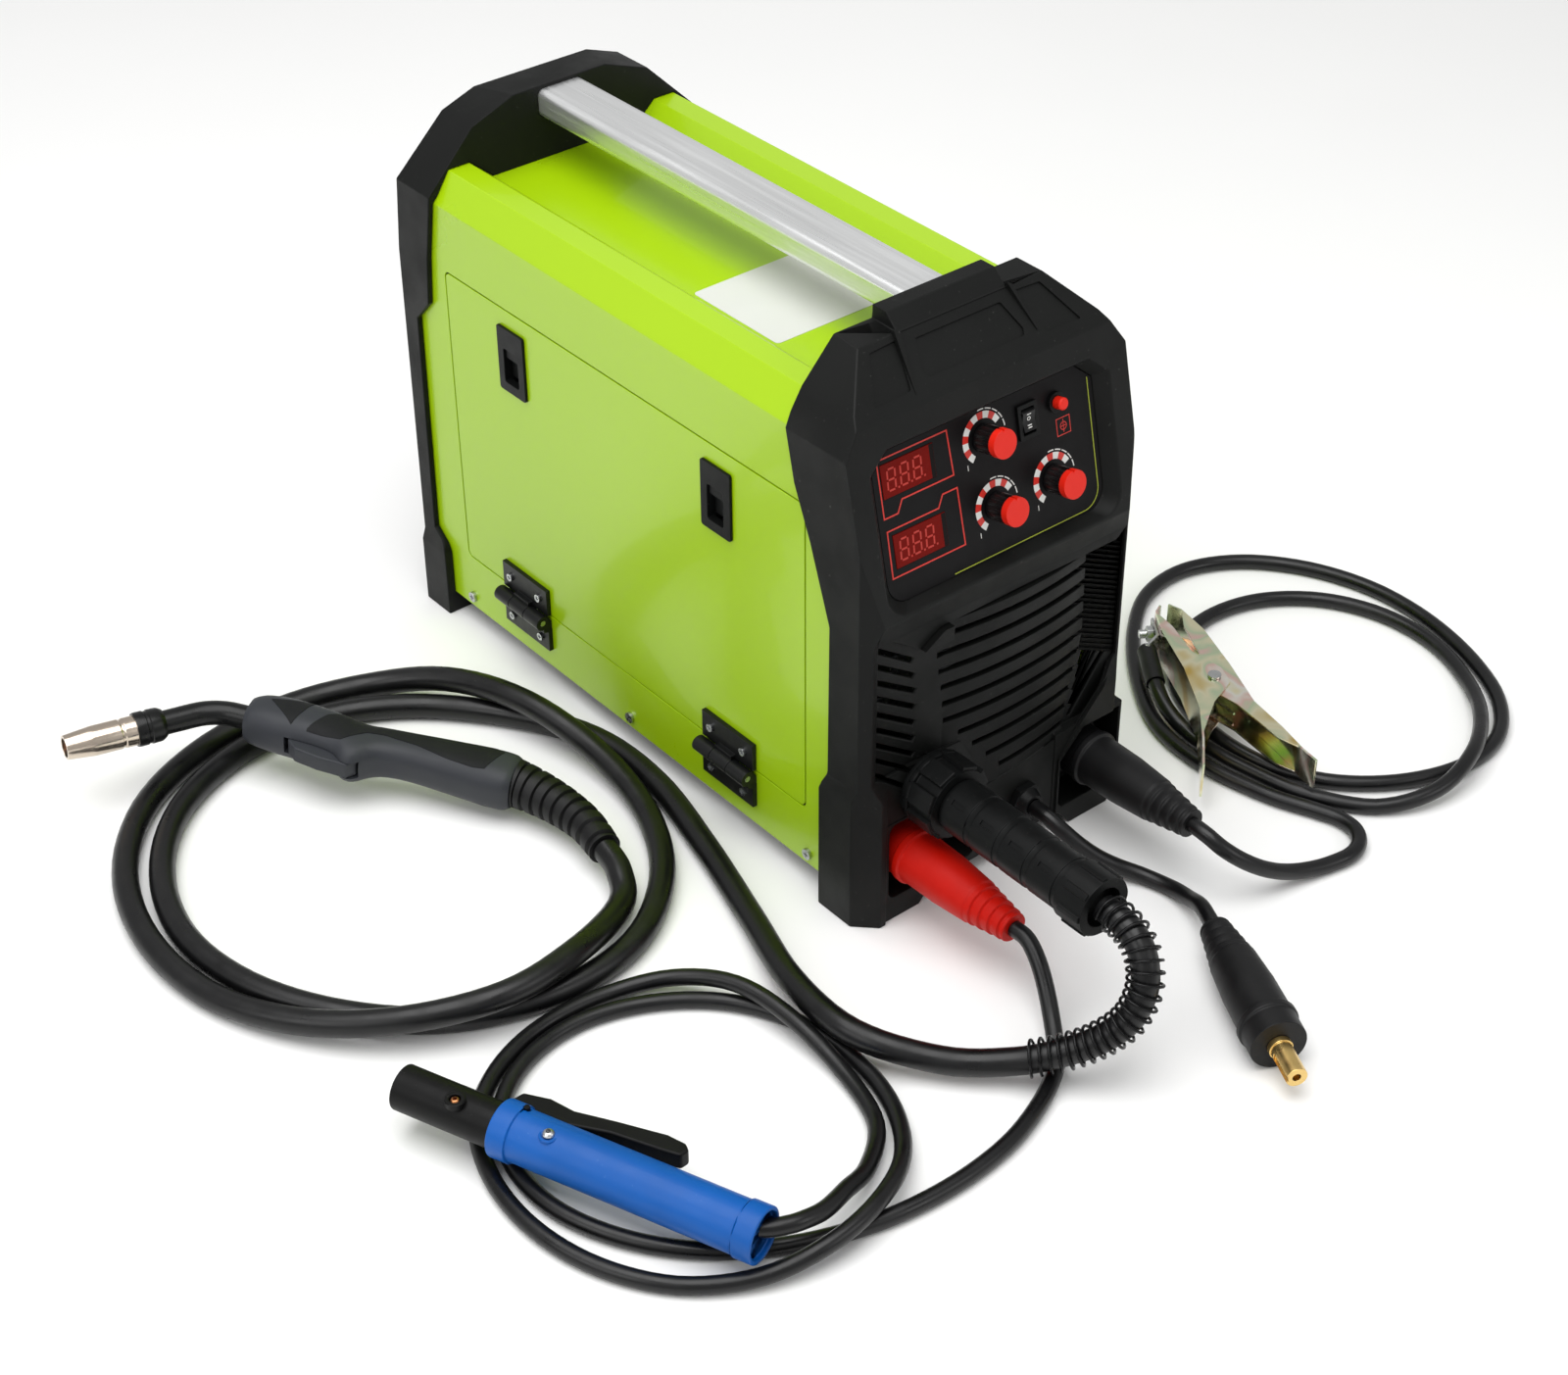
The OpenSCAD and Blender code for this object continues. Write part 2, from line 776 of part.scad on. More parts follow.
// Rocker that tips about its pin, 2 below the frame's face.
module rocker(w, h) {
    intersection() {
        translate([0, 0, -2])
            rod_x(h - 0.5, -w / 2, w / 2);
        translate([-w / 2, 0, 0])
            along_x(0, w)
                polygon([[-h, -6], [h, -6], [h / 2, 3.6], [0, 1.8], [-h / 2, 3.6]]);
    }
    translate([0, 0, -2])
        rod_x(2, -w / 2 - 0.6, w / 2 + 0.6);
}
module mode_rocker() {
    color(black)
        on_slope()
            translate([mode_at[0], mode_at[1], face])
                rocker(9.4, 15.8);
}
module power_rocker() {
    color(red)
        translate([power_x, rear_panel_y, power_z])
            rotate([-90, 0, 0])
                rocker(24.4, 18.4);
}
module purge_button() {
    color(red)
        on_slope()
            translate([button_at[0], button_at[1], face]) {
                translate([0, 0, -1])
                    cylinder(d = button_d, h = 8.6);
                translate([0, 0, 7.6])
                    cylinder(d1 = button_d, d2 = button_d - 1.6, h = 0.8);
            }
}

// ---- sockets, glands, inlet ----

module torch_socket() {
    color(brass)
        translate([torch_x, 0, torch_z])
            difference() {
                union() {
                    rod_y(46, front_y - 1.2, front_y + 1.5 - seat);
                    rod_y(32, front_y, front_y + 46);
                    rod_y(14, front_y, front_y + 72);
                }
                rod_y(12.4, front_y - 3, front_y + 30);
                rod_y(3, front_y, front_y + 80);
            }
}

module lead_sockets() {
    color(brass)
        for (x = socket_x)
            translate([x, 0, socket_z])
                difference() {
                    union() {
                        rod_y(38, pocket_y - 6, pocket_y - seat);
                        rod_y(24, pocket_y - 3, pocket_y + 28);
                    }
                    rod_y(pin_d + 2 * pin_gap, pocket_y - 8, pocket_y + 24);
                }
}

gland_d = 18;
polarity_x = 21;
polarity_z = 40;
module gland(tail) {
    difference() {
        union() {
            rod_y(gland_d, -14, 0);
            translate([0, 0.2, 0])
                rotate([-90, 0, 0])
                    cylinder(d = gland_d + 7, h = 5, $fn = 6);
            translate([0, 5, 0])
                rotate([-90, 0, 0])
                    cylinder(d1 = gland_d + 2, d2 = gland_d - 3, h = tail);
        }
        rod_y(lead_d + 0.4, -20, 40);
    }
}
module cable_glands() {
    color(black) {
        translate([polarity_x, front_y + 2, polarity_z])
            rotate([0, 0, 180])
                gland(6);
        translate([mains_x, rear_panel_y, mains_z])
            gland(24);
    }
}

module gas_inlet() {
    color(brass)
        translate([inlet_x, rear_panel_y, inlet_z])
            difference() {
                union() {
                    rod_y(12, -16, 3);
                    translate([0, 0.2, 0])
                        rotate([-90, 0, 0])
                            cylinder(d = 20, h = 6, $fn = 6);
                    for (i = [0:2])
                        translate([0, 6 + i * 5, 0])
                            rotate([-90, 0, 0])
                                cylinder(d1 = 9.4, d2 = 7, h = 5);
                }
                rod_y(4, -30, 30);
            }
}

// ---- fan ----

fan_y = rear_panel_y - wall - seat - fan_t;
module fan_frame() {
    color(black)
        translate([fan_x, fan_y, fan_z])
            difference() {
                union() {
                    difference() {
                        along_y(0, fan_t)
                            round_box(fan_w, fan_w, 4);
                        rod_y(fan_w - 4, -1, fan_t + 1);
                    }
                    rod_y(34, fan_t - 4, fan_t);
                    for (a = [45:90:315])
                        rotate([0, a, 0])
                            translate([0, fan_t - 3.5, -2.5])
                                cube([fan_w / 2 - 1, 3.5, 5]);
                    rod_y(10, fan_t - 12, fan_t - 3);
                }
                rod_y(4 + 2 * run_gap, fan_t - 20, fan_t - 1);
                for (i = [-1, 1], j = [-1, 1])
                    translate([i * (fan_w / 2 - 5.5), 0, j * (fan_w / 2 - 5.5)])
                        rod_y(4.3, -1, fan_t + 1);
            }
}
module fan_rotor() {
    color(black)
        translate([fan_x, fan_y, fan_z]) {
            difference() {
                rod_y(36, 2, fan_t - 5);
                rod_y(31, 5, fan_t);
            }
            rod_y(4, 4, fan_t - 2);
            for (i = [0:fan_blades - 1])
                rotate([0, i * 360 / fan_blades, 0])
                    translate([16.6, fan_t / 2 - 1.5, 0])
                        rotate([38, 0, 0])
                            translate([0, -8.5, -1])
                                cube([fan_w / 2 - 21.2, 17, 2]);
        }
}

// ---- inside: partition, wire feed, spool, power board ----

plate_x = -22;
feed_y = front_y + 115;
roll_z = torch_z - roll_d / 2 - 0.5;
spool_y = 70;
spool_z = 160;
module inner_plate() {
    color(steel)
        difference() {
            union() {
                translate([plate_x, case_front + 16, cover_z + sheet_t + seat])
                    cube([sheet_t, case_rear - case_front - 34,
                        tray_z - sheet_t - seat - cover_z - sheet_t - seat]);
                translate([plate_x, case_front + 16, cover_z + sheet_t + seat])
                    cube([14, case_rear - case_front - 34, sheet_t]);
            }
            translate([plate_x, feed_y, roll_z])
                rod_x(24.4, -3, 6);
            translate([plate_x, spool_y, spool_z])
                rod_x(20.4, -3, 6);
        }
}

post_x = torch_x + 22;
module feed_motor() {
    color(steel) {
        difference() {
            union() {
                // feed plate on the wire side
                translate([plate_x - seat - 6, feed_y - 44, roll_z - 26])
                    cube([6, 84, 80]);
                // wire guides
                for (y = [feed_y - 38, feed_y + 22])
                    translate([torch_x - 6, y, torch_z - 6])
                        cube([-torch_x + 6 + plate_x - seat, 10, 12]);
                translate([plate_x - seat - 5, feed_y, roll_z])
                    rod_x(24, 0, 14);
                translate([0, feed_y, roll_z])
                    rod_x(64, plate_x + sheet_t + seat, plate_x + 22);
                translate([0, feed_y, roll_z])
                    rod_x(56, plate_x + 20, plate_x + 90);
            }
            translate([0, feed_y, roll_z])
                rod_x(8 + 2 * run_gap, plate_x - 20, plate_x + 20);
            translate([torch_x, 0, torch_z])
                rod_y(2.4, feed_y - 60, feed_y + 60);
        }
        // pivot pin of the pressure arm
        translate([0, feed_y + 34, arm_z])
            rod_x(8, plate_x - 50, plate_x - seat - 5);
    }
}

module drive_roll() {
    color(steel)
        translate([0, feed_y, roll_z])
            difference() {
                union() {
                    rod_x(roll_d, torch_x - 6, torch_x + 6);
                    rod_x(8, torch_x + 5, plate_x + 18);
                    rod_x(12, torch_x - 12, torch_x - 5);
                }
                rotate([0, 90, 0])
                    rotate_extrude()
                        translate([roll_d / 2, torch_x])
                            circle(0.8, $fn = 16);
                for (a = [0:60:300])
                    rotate([a, 0, 0])
                        translate([torch_x - 8, 0, 10])
                            rod_x(3, 0, 20);
            }
}

arm_z = torch_z + 18;
press_d = 22;
module pressure_arm() {
    color(black)
        difference() {
            union() {
                translate([0, feed_y + 34, arm_z])
                    rod_x(18, torch_x - 8, torch_x + 13);
                translate([torch_x - 8, feed_y - 32, arm_z - 2])
                    cube([6, 66, 10]);
                translate([torch_x + 7, feed_y - 32, arm_z - 2])
                    cube([6, 66, 10]);
                translate([torch_x - 8, feed_y - 34, arm_z + 2])
                    cube([21, 16, 6]);
                translate([0, feed_y, torch_z + press_d / 2 + 0.6])
                    rod_x(5, torch_x - 8, torch_x + 13);
                translate([0, feed_y, torch_z + press_d / 2 + 0.6])
                    rod_x(press_d, torch_x - 1.6, torch_x + 6.6);
                translate([torch_x - 8, feed_y - 4, torch_z + press_d / 2 - 3])
                    cube([6, 8, 14]);
                translate([torch_x + 7, feed_y - 4, torch_z + press_d / 2 - 3])
                    cube([6, 8, 14]);
            }
            translate([0, feed_y + 34, arm_z])
                rod_x(8 + 2 * run_gap, torch_x - 20, torch_x + 20);
            translate([torch_x + 2.5, feed_y - 26, arm_z - 5])
                cylinder(d = 6 + 2 * run_gap, h = 20);
        }
}
module tension_knob() {
    color(red)
        translate([torch_x + 2.5, feed_y - 26, arm_z]) {
            translate([0, 0, 8.3])
                difference() {
                    cylinder(d = 18, h = 20);
                    for (i = [0:9])
                        rotate([0, 0, i * 36])
                            translate([9.6, 0, 3])
                                cylinder(d = 3, h = 20, $fn = 16);
                }
            translate([0, 0, -3])
                cylinder(d = 6, h = 12);
            translate([0, 0, -5])
                cylinder(d = 9, h = 4.7);
        }
}

spool_x0 = plate_x - 9;
module spool_hub() {
    color(black)
        translate([0, spool_y, spool_z])
            difference() {
                union() {
                    rod_x(66, plate_x - 7, plate_x - seat);
                    rod_x(hub_d, spool_x0 - spool_w - 2, plate_x - 4);
                    rod_x(28, spool_x0 - spool_w - 13, plate_x - 4);
                    rod_x(20, plate_x - 1, plate_x + 8);
                    rod_x(30, plate_x + sheet_t + seat, plate_x + 8);
                }
                rod_x(12, spool_x0 - spool_w - 20, plate_x - 20);
            }
}
module wire_spool() {
    color("#3a3d42")
        translate([0, spool_y, spool_z])
            difference() {
                union() {
                    rod_x(spool_d, spool_x0 - 4, spool_x0);
                    rod_x(spool_d, spool_x0 - spool_w, spool_x0 - spool_w + 4);
                    rod_x(spool_d - 30, spool_x0 - spool_w, spool_x0);
                }
                rod_x(hub_d + 2 * run_gap, spool_x0 - spool_w - 5, spool_x0 + 5);
                for (a = [0:60:300])
                    rotate([a, 0, 0])
                        translate([0, 0, spool_d * 0.3])
                            rod_x(26, spool_x0 - spool_w - 5, spool_x0 + 5);
            }
}
module spool_nut() {
    color(black)
        translate([0, spool_y, spool_z])
            difference() {
                union() {
                    rod_x(62, spool_x0 - spool_w - 8.4, spool_x0 - spool_w - 2.4);
                    rod_x(40, spool_x0 - spool_w - 12.4, spool_x0 - spool_w - 4);
                    for (a = [0, 90])
                        rotate([a, 0, 0])
                            translate([spool_x0 - spool_w - 12.4, -4, -30])
                                cube([8, 8, 60]);
                }
                rod_x(28 + 2 * run_gap, spool_x0 - spool_w - 20, spool_x0);
            }
}

board_z = cover_z + 2 * sheet_t + 2 * seat + 10;
module power_board() {
    color("#2f6b3a")
        translate([-4, -72, board_z])
            cube([96, 228, 2]);
    color(steel)
        for (x = [2, 86], y = [-64, 148])
            translate([x, y, cover_z + sheet_t + seat])
                cylinder(d = 7, h = 11);
    color("#b9bdc2")
        for (x = [4, 52])
            translate([x, 40, board_z + 2.2])
                difference() {
                    cube([34, 100, 62]);
                    for (i = [0:4])
                        translate([4 + i * 5.8, -1, 10])
                            cube([3, 102, 60]);
                }
    color("#8a5a34")
        translate([46, -8, board_z + 2.2])
            difference() {
                cylinder(d = 72, h = 44);
                translate([0, 0, -1])
                    cylinder(d = 26, h = 46);
            }
    color("#2a2f3c")
        for (i = [0:2])
            translate([12 + i * 32, -58, board_z + 2.2])
                cylinder(d = 26, h = 40);
}

// ---- swept tubes ----

function unit(v) = v / norm(v);
function spline(a, b, c, d, t) = 0.5 * (2 * b + (c - a) * t + (2 * a - 5 * b + 4 * c - d) * t * t
    + (3 * b - 3 * c + d - a) * t * t * t);
function smooth(p, m) = let (n = len(p)) concat(
    [for (i = [0:n - 2], k = [0:m - 1])
        spline(p[max(0, i - 1)], p[i], p[i + 1], p[min(n - 1, i + 2)], k / m)],
    [p[n - 1]]);
function tangent(p, i) = unit(p[min(len(p) - 1, i + 1)] - p[max(0, i - 1)]);
function side_of(t) = unit(cross(t, abs(t[2]) > 0.95 ? [0, 1, 0] : [0, 0, 1]));
function reach(p, i = 1) = i >= len(p) ? 0 : norm(p[i] - p[i - 1]) + reach(p, i + 1);

module sweep(points, sides) {
    // points is a list of rings, each a closed loop of the same count
    n = len(points);
    flat = [for (ring = points, v = ring) v];
    skin = [for (i = [0:n - 2], j = [0:sides - 1])
        let (a = i * sides + j, b = i * sides + (j + 1) % sides)
        for (f = [[a, b + sides, b], [a, a + sides, b + sides]]) f];
    polyhedron(flat, concat(skin,
        [for (j = [1:sides - 2]) [0, j, j + 1]],
        [for (j = [1:sides - 2]) [(n - 1) * sides, (n - 1) * sides + j + 1, (n - 1) * sides + j]]));
}
function ring_at(c, t, r, sides) = let (s = side_of(t), u = cross(s, t))
    [for (j = [0:sides - 1]) c + r * (cos(j * 360 / sides) * s - sin(j * 360 / sides) * u)];
module tube(p, r, sides) {
    sweep([for (i = [0:len(p) - 1]) ring_at(p[i], tangent(p, i), r, sides)], sides);
}

// Routes of the leads, x, y and z of the middle line.
torch_route = [[-58, -385, 93], [-58, -400, 92], [-59, -413, 87], [-62, -422.5, 77.5],
    [-67, -427.5, 64], [-76, -426.5, 48], [-88, -418, 34.5], [-103, -405, 24], [-124, -387, 16.5],
    [-153, -358, 14],
    [-181, -313.5, 20], [-177, -254.5, 16], [-155, -188, 9.5], [-134.5, -118, 8.3],
    [-119.5, -48.5, 8.3], [-122.5, 14.5, 8.3], [-151, 72, 8.3], [-196.5, 122, 8.3], [-251, 149, 8.3],
    [-312, 149, 8.3], [-368.5, 122.5, 8.3], [-408, 75, 8.3], [-426.5, 15, 8.3], [-419, -47, 8.3],
    [-389, -104, 8.3], [-343, -148, 8.3], [-283.5, -167.5, 8.3], [-224, -162.5, 8.3],
    [-175, -127, 8.3], [-144.5, -73.5, 9], [-135.5, -11.5, 16], [-147, 54.5, 26.5],
    [-169, 115, 21.5], [-207.5, 157.5, 10], [-265, 174, 8.3], [-329.5, 167, 8.3],
    [-385.5, 138.5, 8.3], [-426, 89, 8.3], [-445, 27.5, 8.3], [-442, -37, 8.3],
    [-416.5, -96, 13.5], [-373.5, -142, 21.5], [-317.5, -167, 26.5], [-260.5, -160, 24],
    [-211, -133, 12], [-195.5, -111, 15.5], [-191.4, -91, 18.6]];
holder_route = [[-69, -326.6, 44], [-69, -338, 43.2], [-71.5, -350, 36], [-76, -362, 25.5],
    [-83, -375, 14.5], [-92, -388, 7.5], [-103, -399, 5.2], [-129, -413, 5.2], [-165, -424, 5.2],
    [-210, -427, 5.2], [-257.5, -420.5, 5.2], [-302, -403.5, 5.2], [-340, -377, 5.2],
    [-368, -341.5, 5.2], [-383, -300, 5.2], [-380.5, -258, 5.2], [-361, -222, 5.2],
    [-327.5, -199.5, 5.2], [-287, -194, 5.2], [-246, -207, 5.2], [-211.5, -234, 5.2],
    [-191, -270.5, 5.2], [-184, -314.5, 5.2], [-191, -357.5, 5.4], [-213.5, -394, 9.5],
    [-247.5, -416, 16], [-287.5, -423, 15], [-328.5, -413, 8], [-365, -387.5, 5.2],
    [-389, -350.5, 5.2], [-399.5, -307, 5.2], [-396, -262.5, 5.2], [-378, -222.5, 5.2],
    [-346.5, -196, 5.2], [-306, -183, 5.2], [-261.5, -185, 5.2], [-225, -203, 10],
    [-204, -236, 16.2], [-196.5, -278.5, 14.5], [-197, -326, 6.5], [-209, -366, 6],
    [-237, -391.5, 11], [-262, -402, 18.5], [-283, -409.5, 24], [-298.3, -410.1, 27.2],
    [-307.9, -407.5, 27.8], [-316.7, -402.9, 27.8], [-323.5, -396.4, 27.8], [-328.6, -388, 27.8],
    [-332.1, -379, 27.8]];
ground_route = [[79.5, -326.5, 44], [79.5, -339, 43.2], [83.5, -350.5, 37], [94, -360, 27.5],
    [109, -366.5, 17.5], [127, -371, 9.5], [148, -376, 5.5], [168, -379.5, 5.2], [181.5, -376, 5.2],
    [190.5, -365.5, 5.2], [191.5, -351, 5.2], [186, -335, 5.2], [174, -303.5, 5.2], [166, -254, 5.2],
    [173.5, -208.5, 5.2], [201, -163.5, 5.2], [236.5, -125, 5.2], [276, -98.5, 5.2],
    [318, -93.5, 5.2], [357.5, -112, 5.2], [387, -148, 5.2], [403, -193.5, 5.2],
    [403.5, -242.5, 5.2], [391, -292, 5.2], [368, -335, 5.2], [334, -361.5, 5.2],
    [291.5, -366, 5.2], [248, -350, 5.2], [213.5, -319.5, 5.2], [196, -278.5, 5.2],
    [196.5, -231.5, 5.2], [213.5, -188.5, 5.2], [245.5, -157.5, 5.2], [287, -145, 5.2],
    [330, -153, 5.2], [365, -180.5, 5.2], [384, -220.5, 5.2], [384.5, -266, 5.2],
    [367, -309, 6.5], [336, -345, 12.8], [296, -370, 16.6], [255, -376, 11],
    [218, -358, 5.3], [193.5, -320, 5.2], [183, -273, 5.2], [181, -240.4, 5.2],
    [181.5, -224.4, 7.6], [181.6, -209.6, 14.3], [185, -198.8, 18.5], [189.9, -190, 20.6]];
link_route = [[21, -249.4, 40], [21, -261, 39.2], [24, -272, 33.5], [30, -281.5, 25], [38, -290, 16.5],
    [47, -299, 10], [55, -309.5, 6.5], [60, -322, 5.2], [61.5, -335, 6.5], [59, -348, 10],
    [54, -361, 16], [47.8, -372.7, 18.6], [43, -382.6, 18.6]];

// A lead's middle line: the route smoothed, and never lower than its own radius.
function laid(route, first, r) = let (q = smooth(route, 2))
    [for (i = [0:len(q) - 1]) if (i > 2 * first || i % 2 == 0) [q[i][0], q[i][1], max(q[i][2], r)]];
torch_line = laid(torch_route, 9, torch_lead_d / 2 + 0.05);
holder_line = laid(holder_route, 11, lead_d / 2 + 0.05);
ground_line = laid(ground_route, 12, lead_d / 2 + 0.05);
link_line = laid(link_route, 0, lead_d / 2 + 0.05);

module torch_cable() {
    color(black)
        tube(torch_line, torch_lead_d / 2, 10);
}
module holder_cable() {
    color(black)
        tube(holder_line, lead_d / 2, 8);
}
module ground_cable() {
    color(black)
        tube(ground_line, lead_d / 2, 8);
}
module link_cable() {
    color(black)
        tube(link_line, lead_d / 2, 8);
}

// ---- torch lead ----

plug_end = front_y - torch_plug_l;
module torch_plug() {
    color(black)
        translate([torch_x, 0, torch_z])
            difference() {
                union() {
                    rod_y(12, front_y - 3, front_y + 24);
                    rod_y(30, front_y - 26, front_y - 1.5);
                    rod_y(33, plug_end + 22, front_y - 25.2);
                    for (i = [0:3])
                        translate([0, -i * 24, 0])
                            rod_y(34.4, front_y - 46.6, front_y - 27);
                    rod_y(37.6, plug_end, plug_end + 22);
                    for (a = [0:45:315])
                        rotate([0, a, 0])
                            translate([17.4, plug_end + 1, -2])
                                cube([2.6, 17, 4]);
                }
                for (i = [0:3], a = [45:90:315])
                    rotate([0, a, 0])
                        translate([16.4, front_y - 42 - i * 24, -1.6])
                            cube([3, 10, 3.2]);
                rod_y(torch_lead_d + 2 * spring_wire + 5, plug_end - 1, plug_end + 9);
            }
}
module torch_plug_nut() {
    color(black)
        translate([torch_x, 0, torch_z])
            difference() {
                union() {
                    rod_y(44, front_y - 24.8, front_y - 1.6);
                    rod_y(49, front_y - 6, front_y - 1.6);
                    for (a = [22.5:45:337.5])
                        rotate([0, a, 0])
                            translate([18, front_y - 24, -6])
                                cube([6, 20, 12]);
                }
                rod_y(30 + 2 * run_gap, front_y - 40, front_y + 5);
            }
}

spring_path = smooth([for (i = [0:8]) torch_route[i]], 30);
spring_l = reach(spring_path);
spring_r = torch_lead_d / 2 + spring_wire / 2 + 1.2;
spring_rings = 8 * spring_curls;
function along(p, d, i = 1) = i >= len(p) - 1 || d <= norm(p[i] - p[i - 1])
    ? [p[i - 1] + (p[i] - p[i - 1]) * min(1, d / norm(p[i] - p[i - 1])), i]
    : along(p, d - norm(p[i] - p[i - 1]), i + 1);
// Middle line of the spring's wire, wound on the lead's own line.
spring_wire_line = [for (i = [0:spring_rings])
    let (q = along(spring_path, 4 + (spring_l - 10) * i / spring_rings),
         t = tangent(spring_path, q[1]), s = side_of(t), u = cross(s, t), a = i * 45)
    q[0] + spring_r * (cos(a) * s + sin(a) * u)];
module torch_spring() {
    color(black)
        tube(spring_wire_line, spring_wire / 2, 6);
}

// Torch handle: x back along the handle, y away from the trigger.
module at_torch() {
    translate([-301, 135, 40])
        rotate([0, 0, -54.3])
            rotate([0, 5.6, 0])
                children();
}
handle_t = 33;
handle_end = 176;
handle_side = [[0, -15], [22, -17], [80, -19], [104, -16], [159, -17], [handle_end, -14], [handle_end, 15],
    [160, 18], [135, 16], [85, 12], [45, 16], [22, 17], [0, 15]];
module torch_handle() {
    color("#4b5058")
        at_torch() {
            difference() {
                union() {
                    translate([0, 0, -handle_t / 2 + 3])
                        linear_extrude(handle_t - 6)
                            polygon(handle_side);
                    translate([0, 0, -handle_t / 2])
                        linear_extrude(handle_t)
                            polygon(grow(handle_side, -4));
                    rod_x(30, -4, 6);
                }
                rod_x(16.4, -10, 24);
                // room for the trigger
                translate([26, -24, -6.2])
                    cube([54, 20, 12.4]);
                rod_x(20.6, 160, 190);
            }
            translate([74, -13, -8])
                cylinder(d = 3, h = 16);
        }
}
module torch_trigger() {
    color("#4b5058")
        at_torch()
            difference() {
                translate([0, 0, -5.8])
                    linear_extrude(11.6)
                        polygon([[28, -12.6], [29, -17.4], [36, -24], [52, -27], [72, -28], [77.4, -22],
                            [77.4, -11], [70, -11], [66, -14]]);
                translate([74, -13, -10])
                    cylinder(d = 3 + 2 * run_gap, h = 20);
            }
}
neck_r = 36;
neck_a = 44;
neck_path = concat([[22, 0, 0], [4, 0, 0]],
    [for (i = [0:10]) [-14 - neck_r * sin(i * neck_a / 10), -neck_r + neck_r * cos(i * neck_a / 10), 0]],
    [[-14 - neck_r * sin(neck_a) - 20 * cos(neck_a),
        -neck_r + neck_r * cos(neck_a) - 20 * sin(neck_a), 0]]);
module torch_neck() {
    color(black)
        at_torch()
            tube(neck_path, 8, 24);
}
module at_nozzle() {
    at_torch()
        translate([-14, -neck_r, 0])
            rotate([0, 0, neck_a])
                translate([-20.2, neck_r, 0])
                    children();
}
module torch_nozzle() {
    color(steel)
        at_nozzle()
            difference() {
                rotate([0, -90, 0])
                    rotate_extrude()
                        polygon([[0, 0], [9, 0], [9, 8], [9.8, 8], [9.8, 26], [9.2, 26.6], [9.2, 28],
                            [9.8, 28.6], [9.8, 46], [8, 64], [0, 64]]);
                rotate([0, -90, 0])
                    translate([0, 0, 30])
                        cylinder(d = 12.6, h = 40);
            }
    color(brass)
        at_nozzle()
            rotate([0, -90, 0])
                translate([0, 0, 30.2])
                    cylinder(d = 6, h = 30);
}

// Ribbed boot from the handle's end down to the lead.
boot_path = smooth([[-198.4, -7.6, 22.9], [-192, -25, 21], [-188, -45, 20], [-187, -66, 19.2],
    [-191.4, -91, 18.6]], 9);
boot_rings = len(boot_path);
module torch_boot() {
    color(black)
        difference() {
            sweep([for (i = [0:boot_rings - 1]) ring_at(boot_path[i], tangent(boot_path, i),
                15.6 - 5 * i / boot_rings - (i % 4 == 2 ? 1.6 : 0), 14)], 14);
            tube([for (i = [len(torch_line) - 3:len(torch_line) - 1]) torch_line[i]],
                torch_lead_d / 2 + 0.6, 10);
            at_torch()
                translate([handle_end - 40, -30, -30])
                    cube([40 + seat, 60, 60]);
        }
}

// ---- stick electrode holder lead ----

// Lead plug: body along -y from the origin, with its ribbed tail.
plug_l = 102;
module plug_body() {
    rotate([90, 0, 0])
        difference() {
            rotate_extrude()
                polygon(concat([[0, 0], [17.2, 0], [17.2, 14], [18.4, 15], [18.4, 19], [16.8, 20],
                    [16.4, 46], [14.4, 72]],
                    [for (i = [0:3], k = [0:3])
                        [13.6 - i * 1.1 - (k == 2 || k == 3 ? 1.4 : 0) , 73 + i * 7 + [0, 3.6, 4.4, 6.4][k]]],
                    [[9.6, 101], [9.2, plug_l], [0, plug_l]]));
            translate([0, 0, -1])
                cylinder(d = pin_d + 2 * seat, h = 21);
        }
}
plug_face = pocket_y - 6.2;
module holder_plug() {
    color(red)
        translate([socket_x[0], plug_face, socket_z])
            plug_body();
}
module at_loose_plug() {
    translate([42.9, -382.9, 18.6])
        rotate([0, 0, 154.1])
            translate([0, plug_l, 0])
                children();
}
module at_holder() {
    // x from the head's tip back along the grip
    translate([-405.6, -193.4, 27.8])
        rotate([0, 0, -68.4])
            children();
}
holder_l = 229;
head_l = 65;
lever_pin_d = 3.6;
module holder_grip() {
    color("#2456b4")
        at_holder()
            difference() {
                union() {
                    rod_x(31, head_l, holder_l - 2);
                    rod_x(34, head_l, head_l + 12);
                    rod_x(33, holder_l - 12, holder_l);
                    // guard rib beside the lever
                    translate([head_l, 10, -4])
                        cube([84, 6.6, 8]);
                }
                rod_x(21, head_l - 2, holder_l - 40);
                // open end, where the lead comes in
                rod_x(25, holder_l - 30.4, holder_l + 1);
                rod_x(28, holder_l - 3, holder_l + 1);
                translate([head_l + 13, 7.2, -20])
                    cylinder(d = lever_pin_d + 2 * seat, h = 40);
                // slot for the lever
                translate([head_l - 2, 2, -6])
                    cube([66, 30, 12]);
            }
}
module holder_jaws() {
    color(black)
        at_holder()
            difference() {
                union() {
                    rod_x(27, 0, head_l - 0.3);
                    rod_x(20.6, head_l - 1, head_l + 60);
                }
                // mouth for the electrode
                translate([-1, 0, -9])
                    cube([34, 20, 18]);
                translate([-1, -4, -2.2])
                    cube([34, 8, 4.4]);
                // slot for the lever
                translate([30, 0, -6])
                    cube([120, 20, 12]);
                for (z = [1])
                    translate([40, -6, 10])
                        cylinder(d = 6.4, h = 8);
            }
    color(steel)
        at_holder() {
            translate([40, -6, 10.2])
                cylinder(d = 6, h = 3);
            translate([head_l + 13, 7.2, -16])
                cylinder(d = lever_pin_d, h = 32);
        }
}
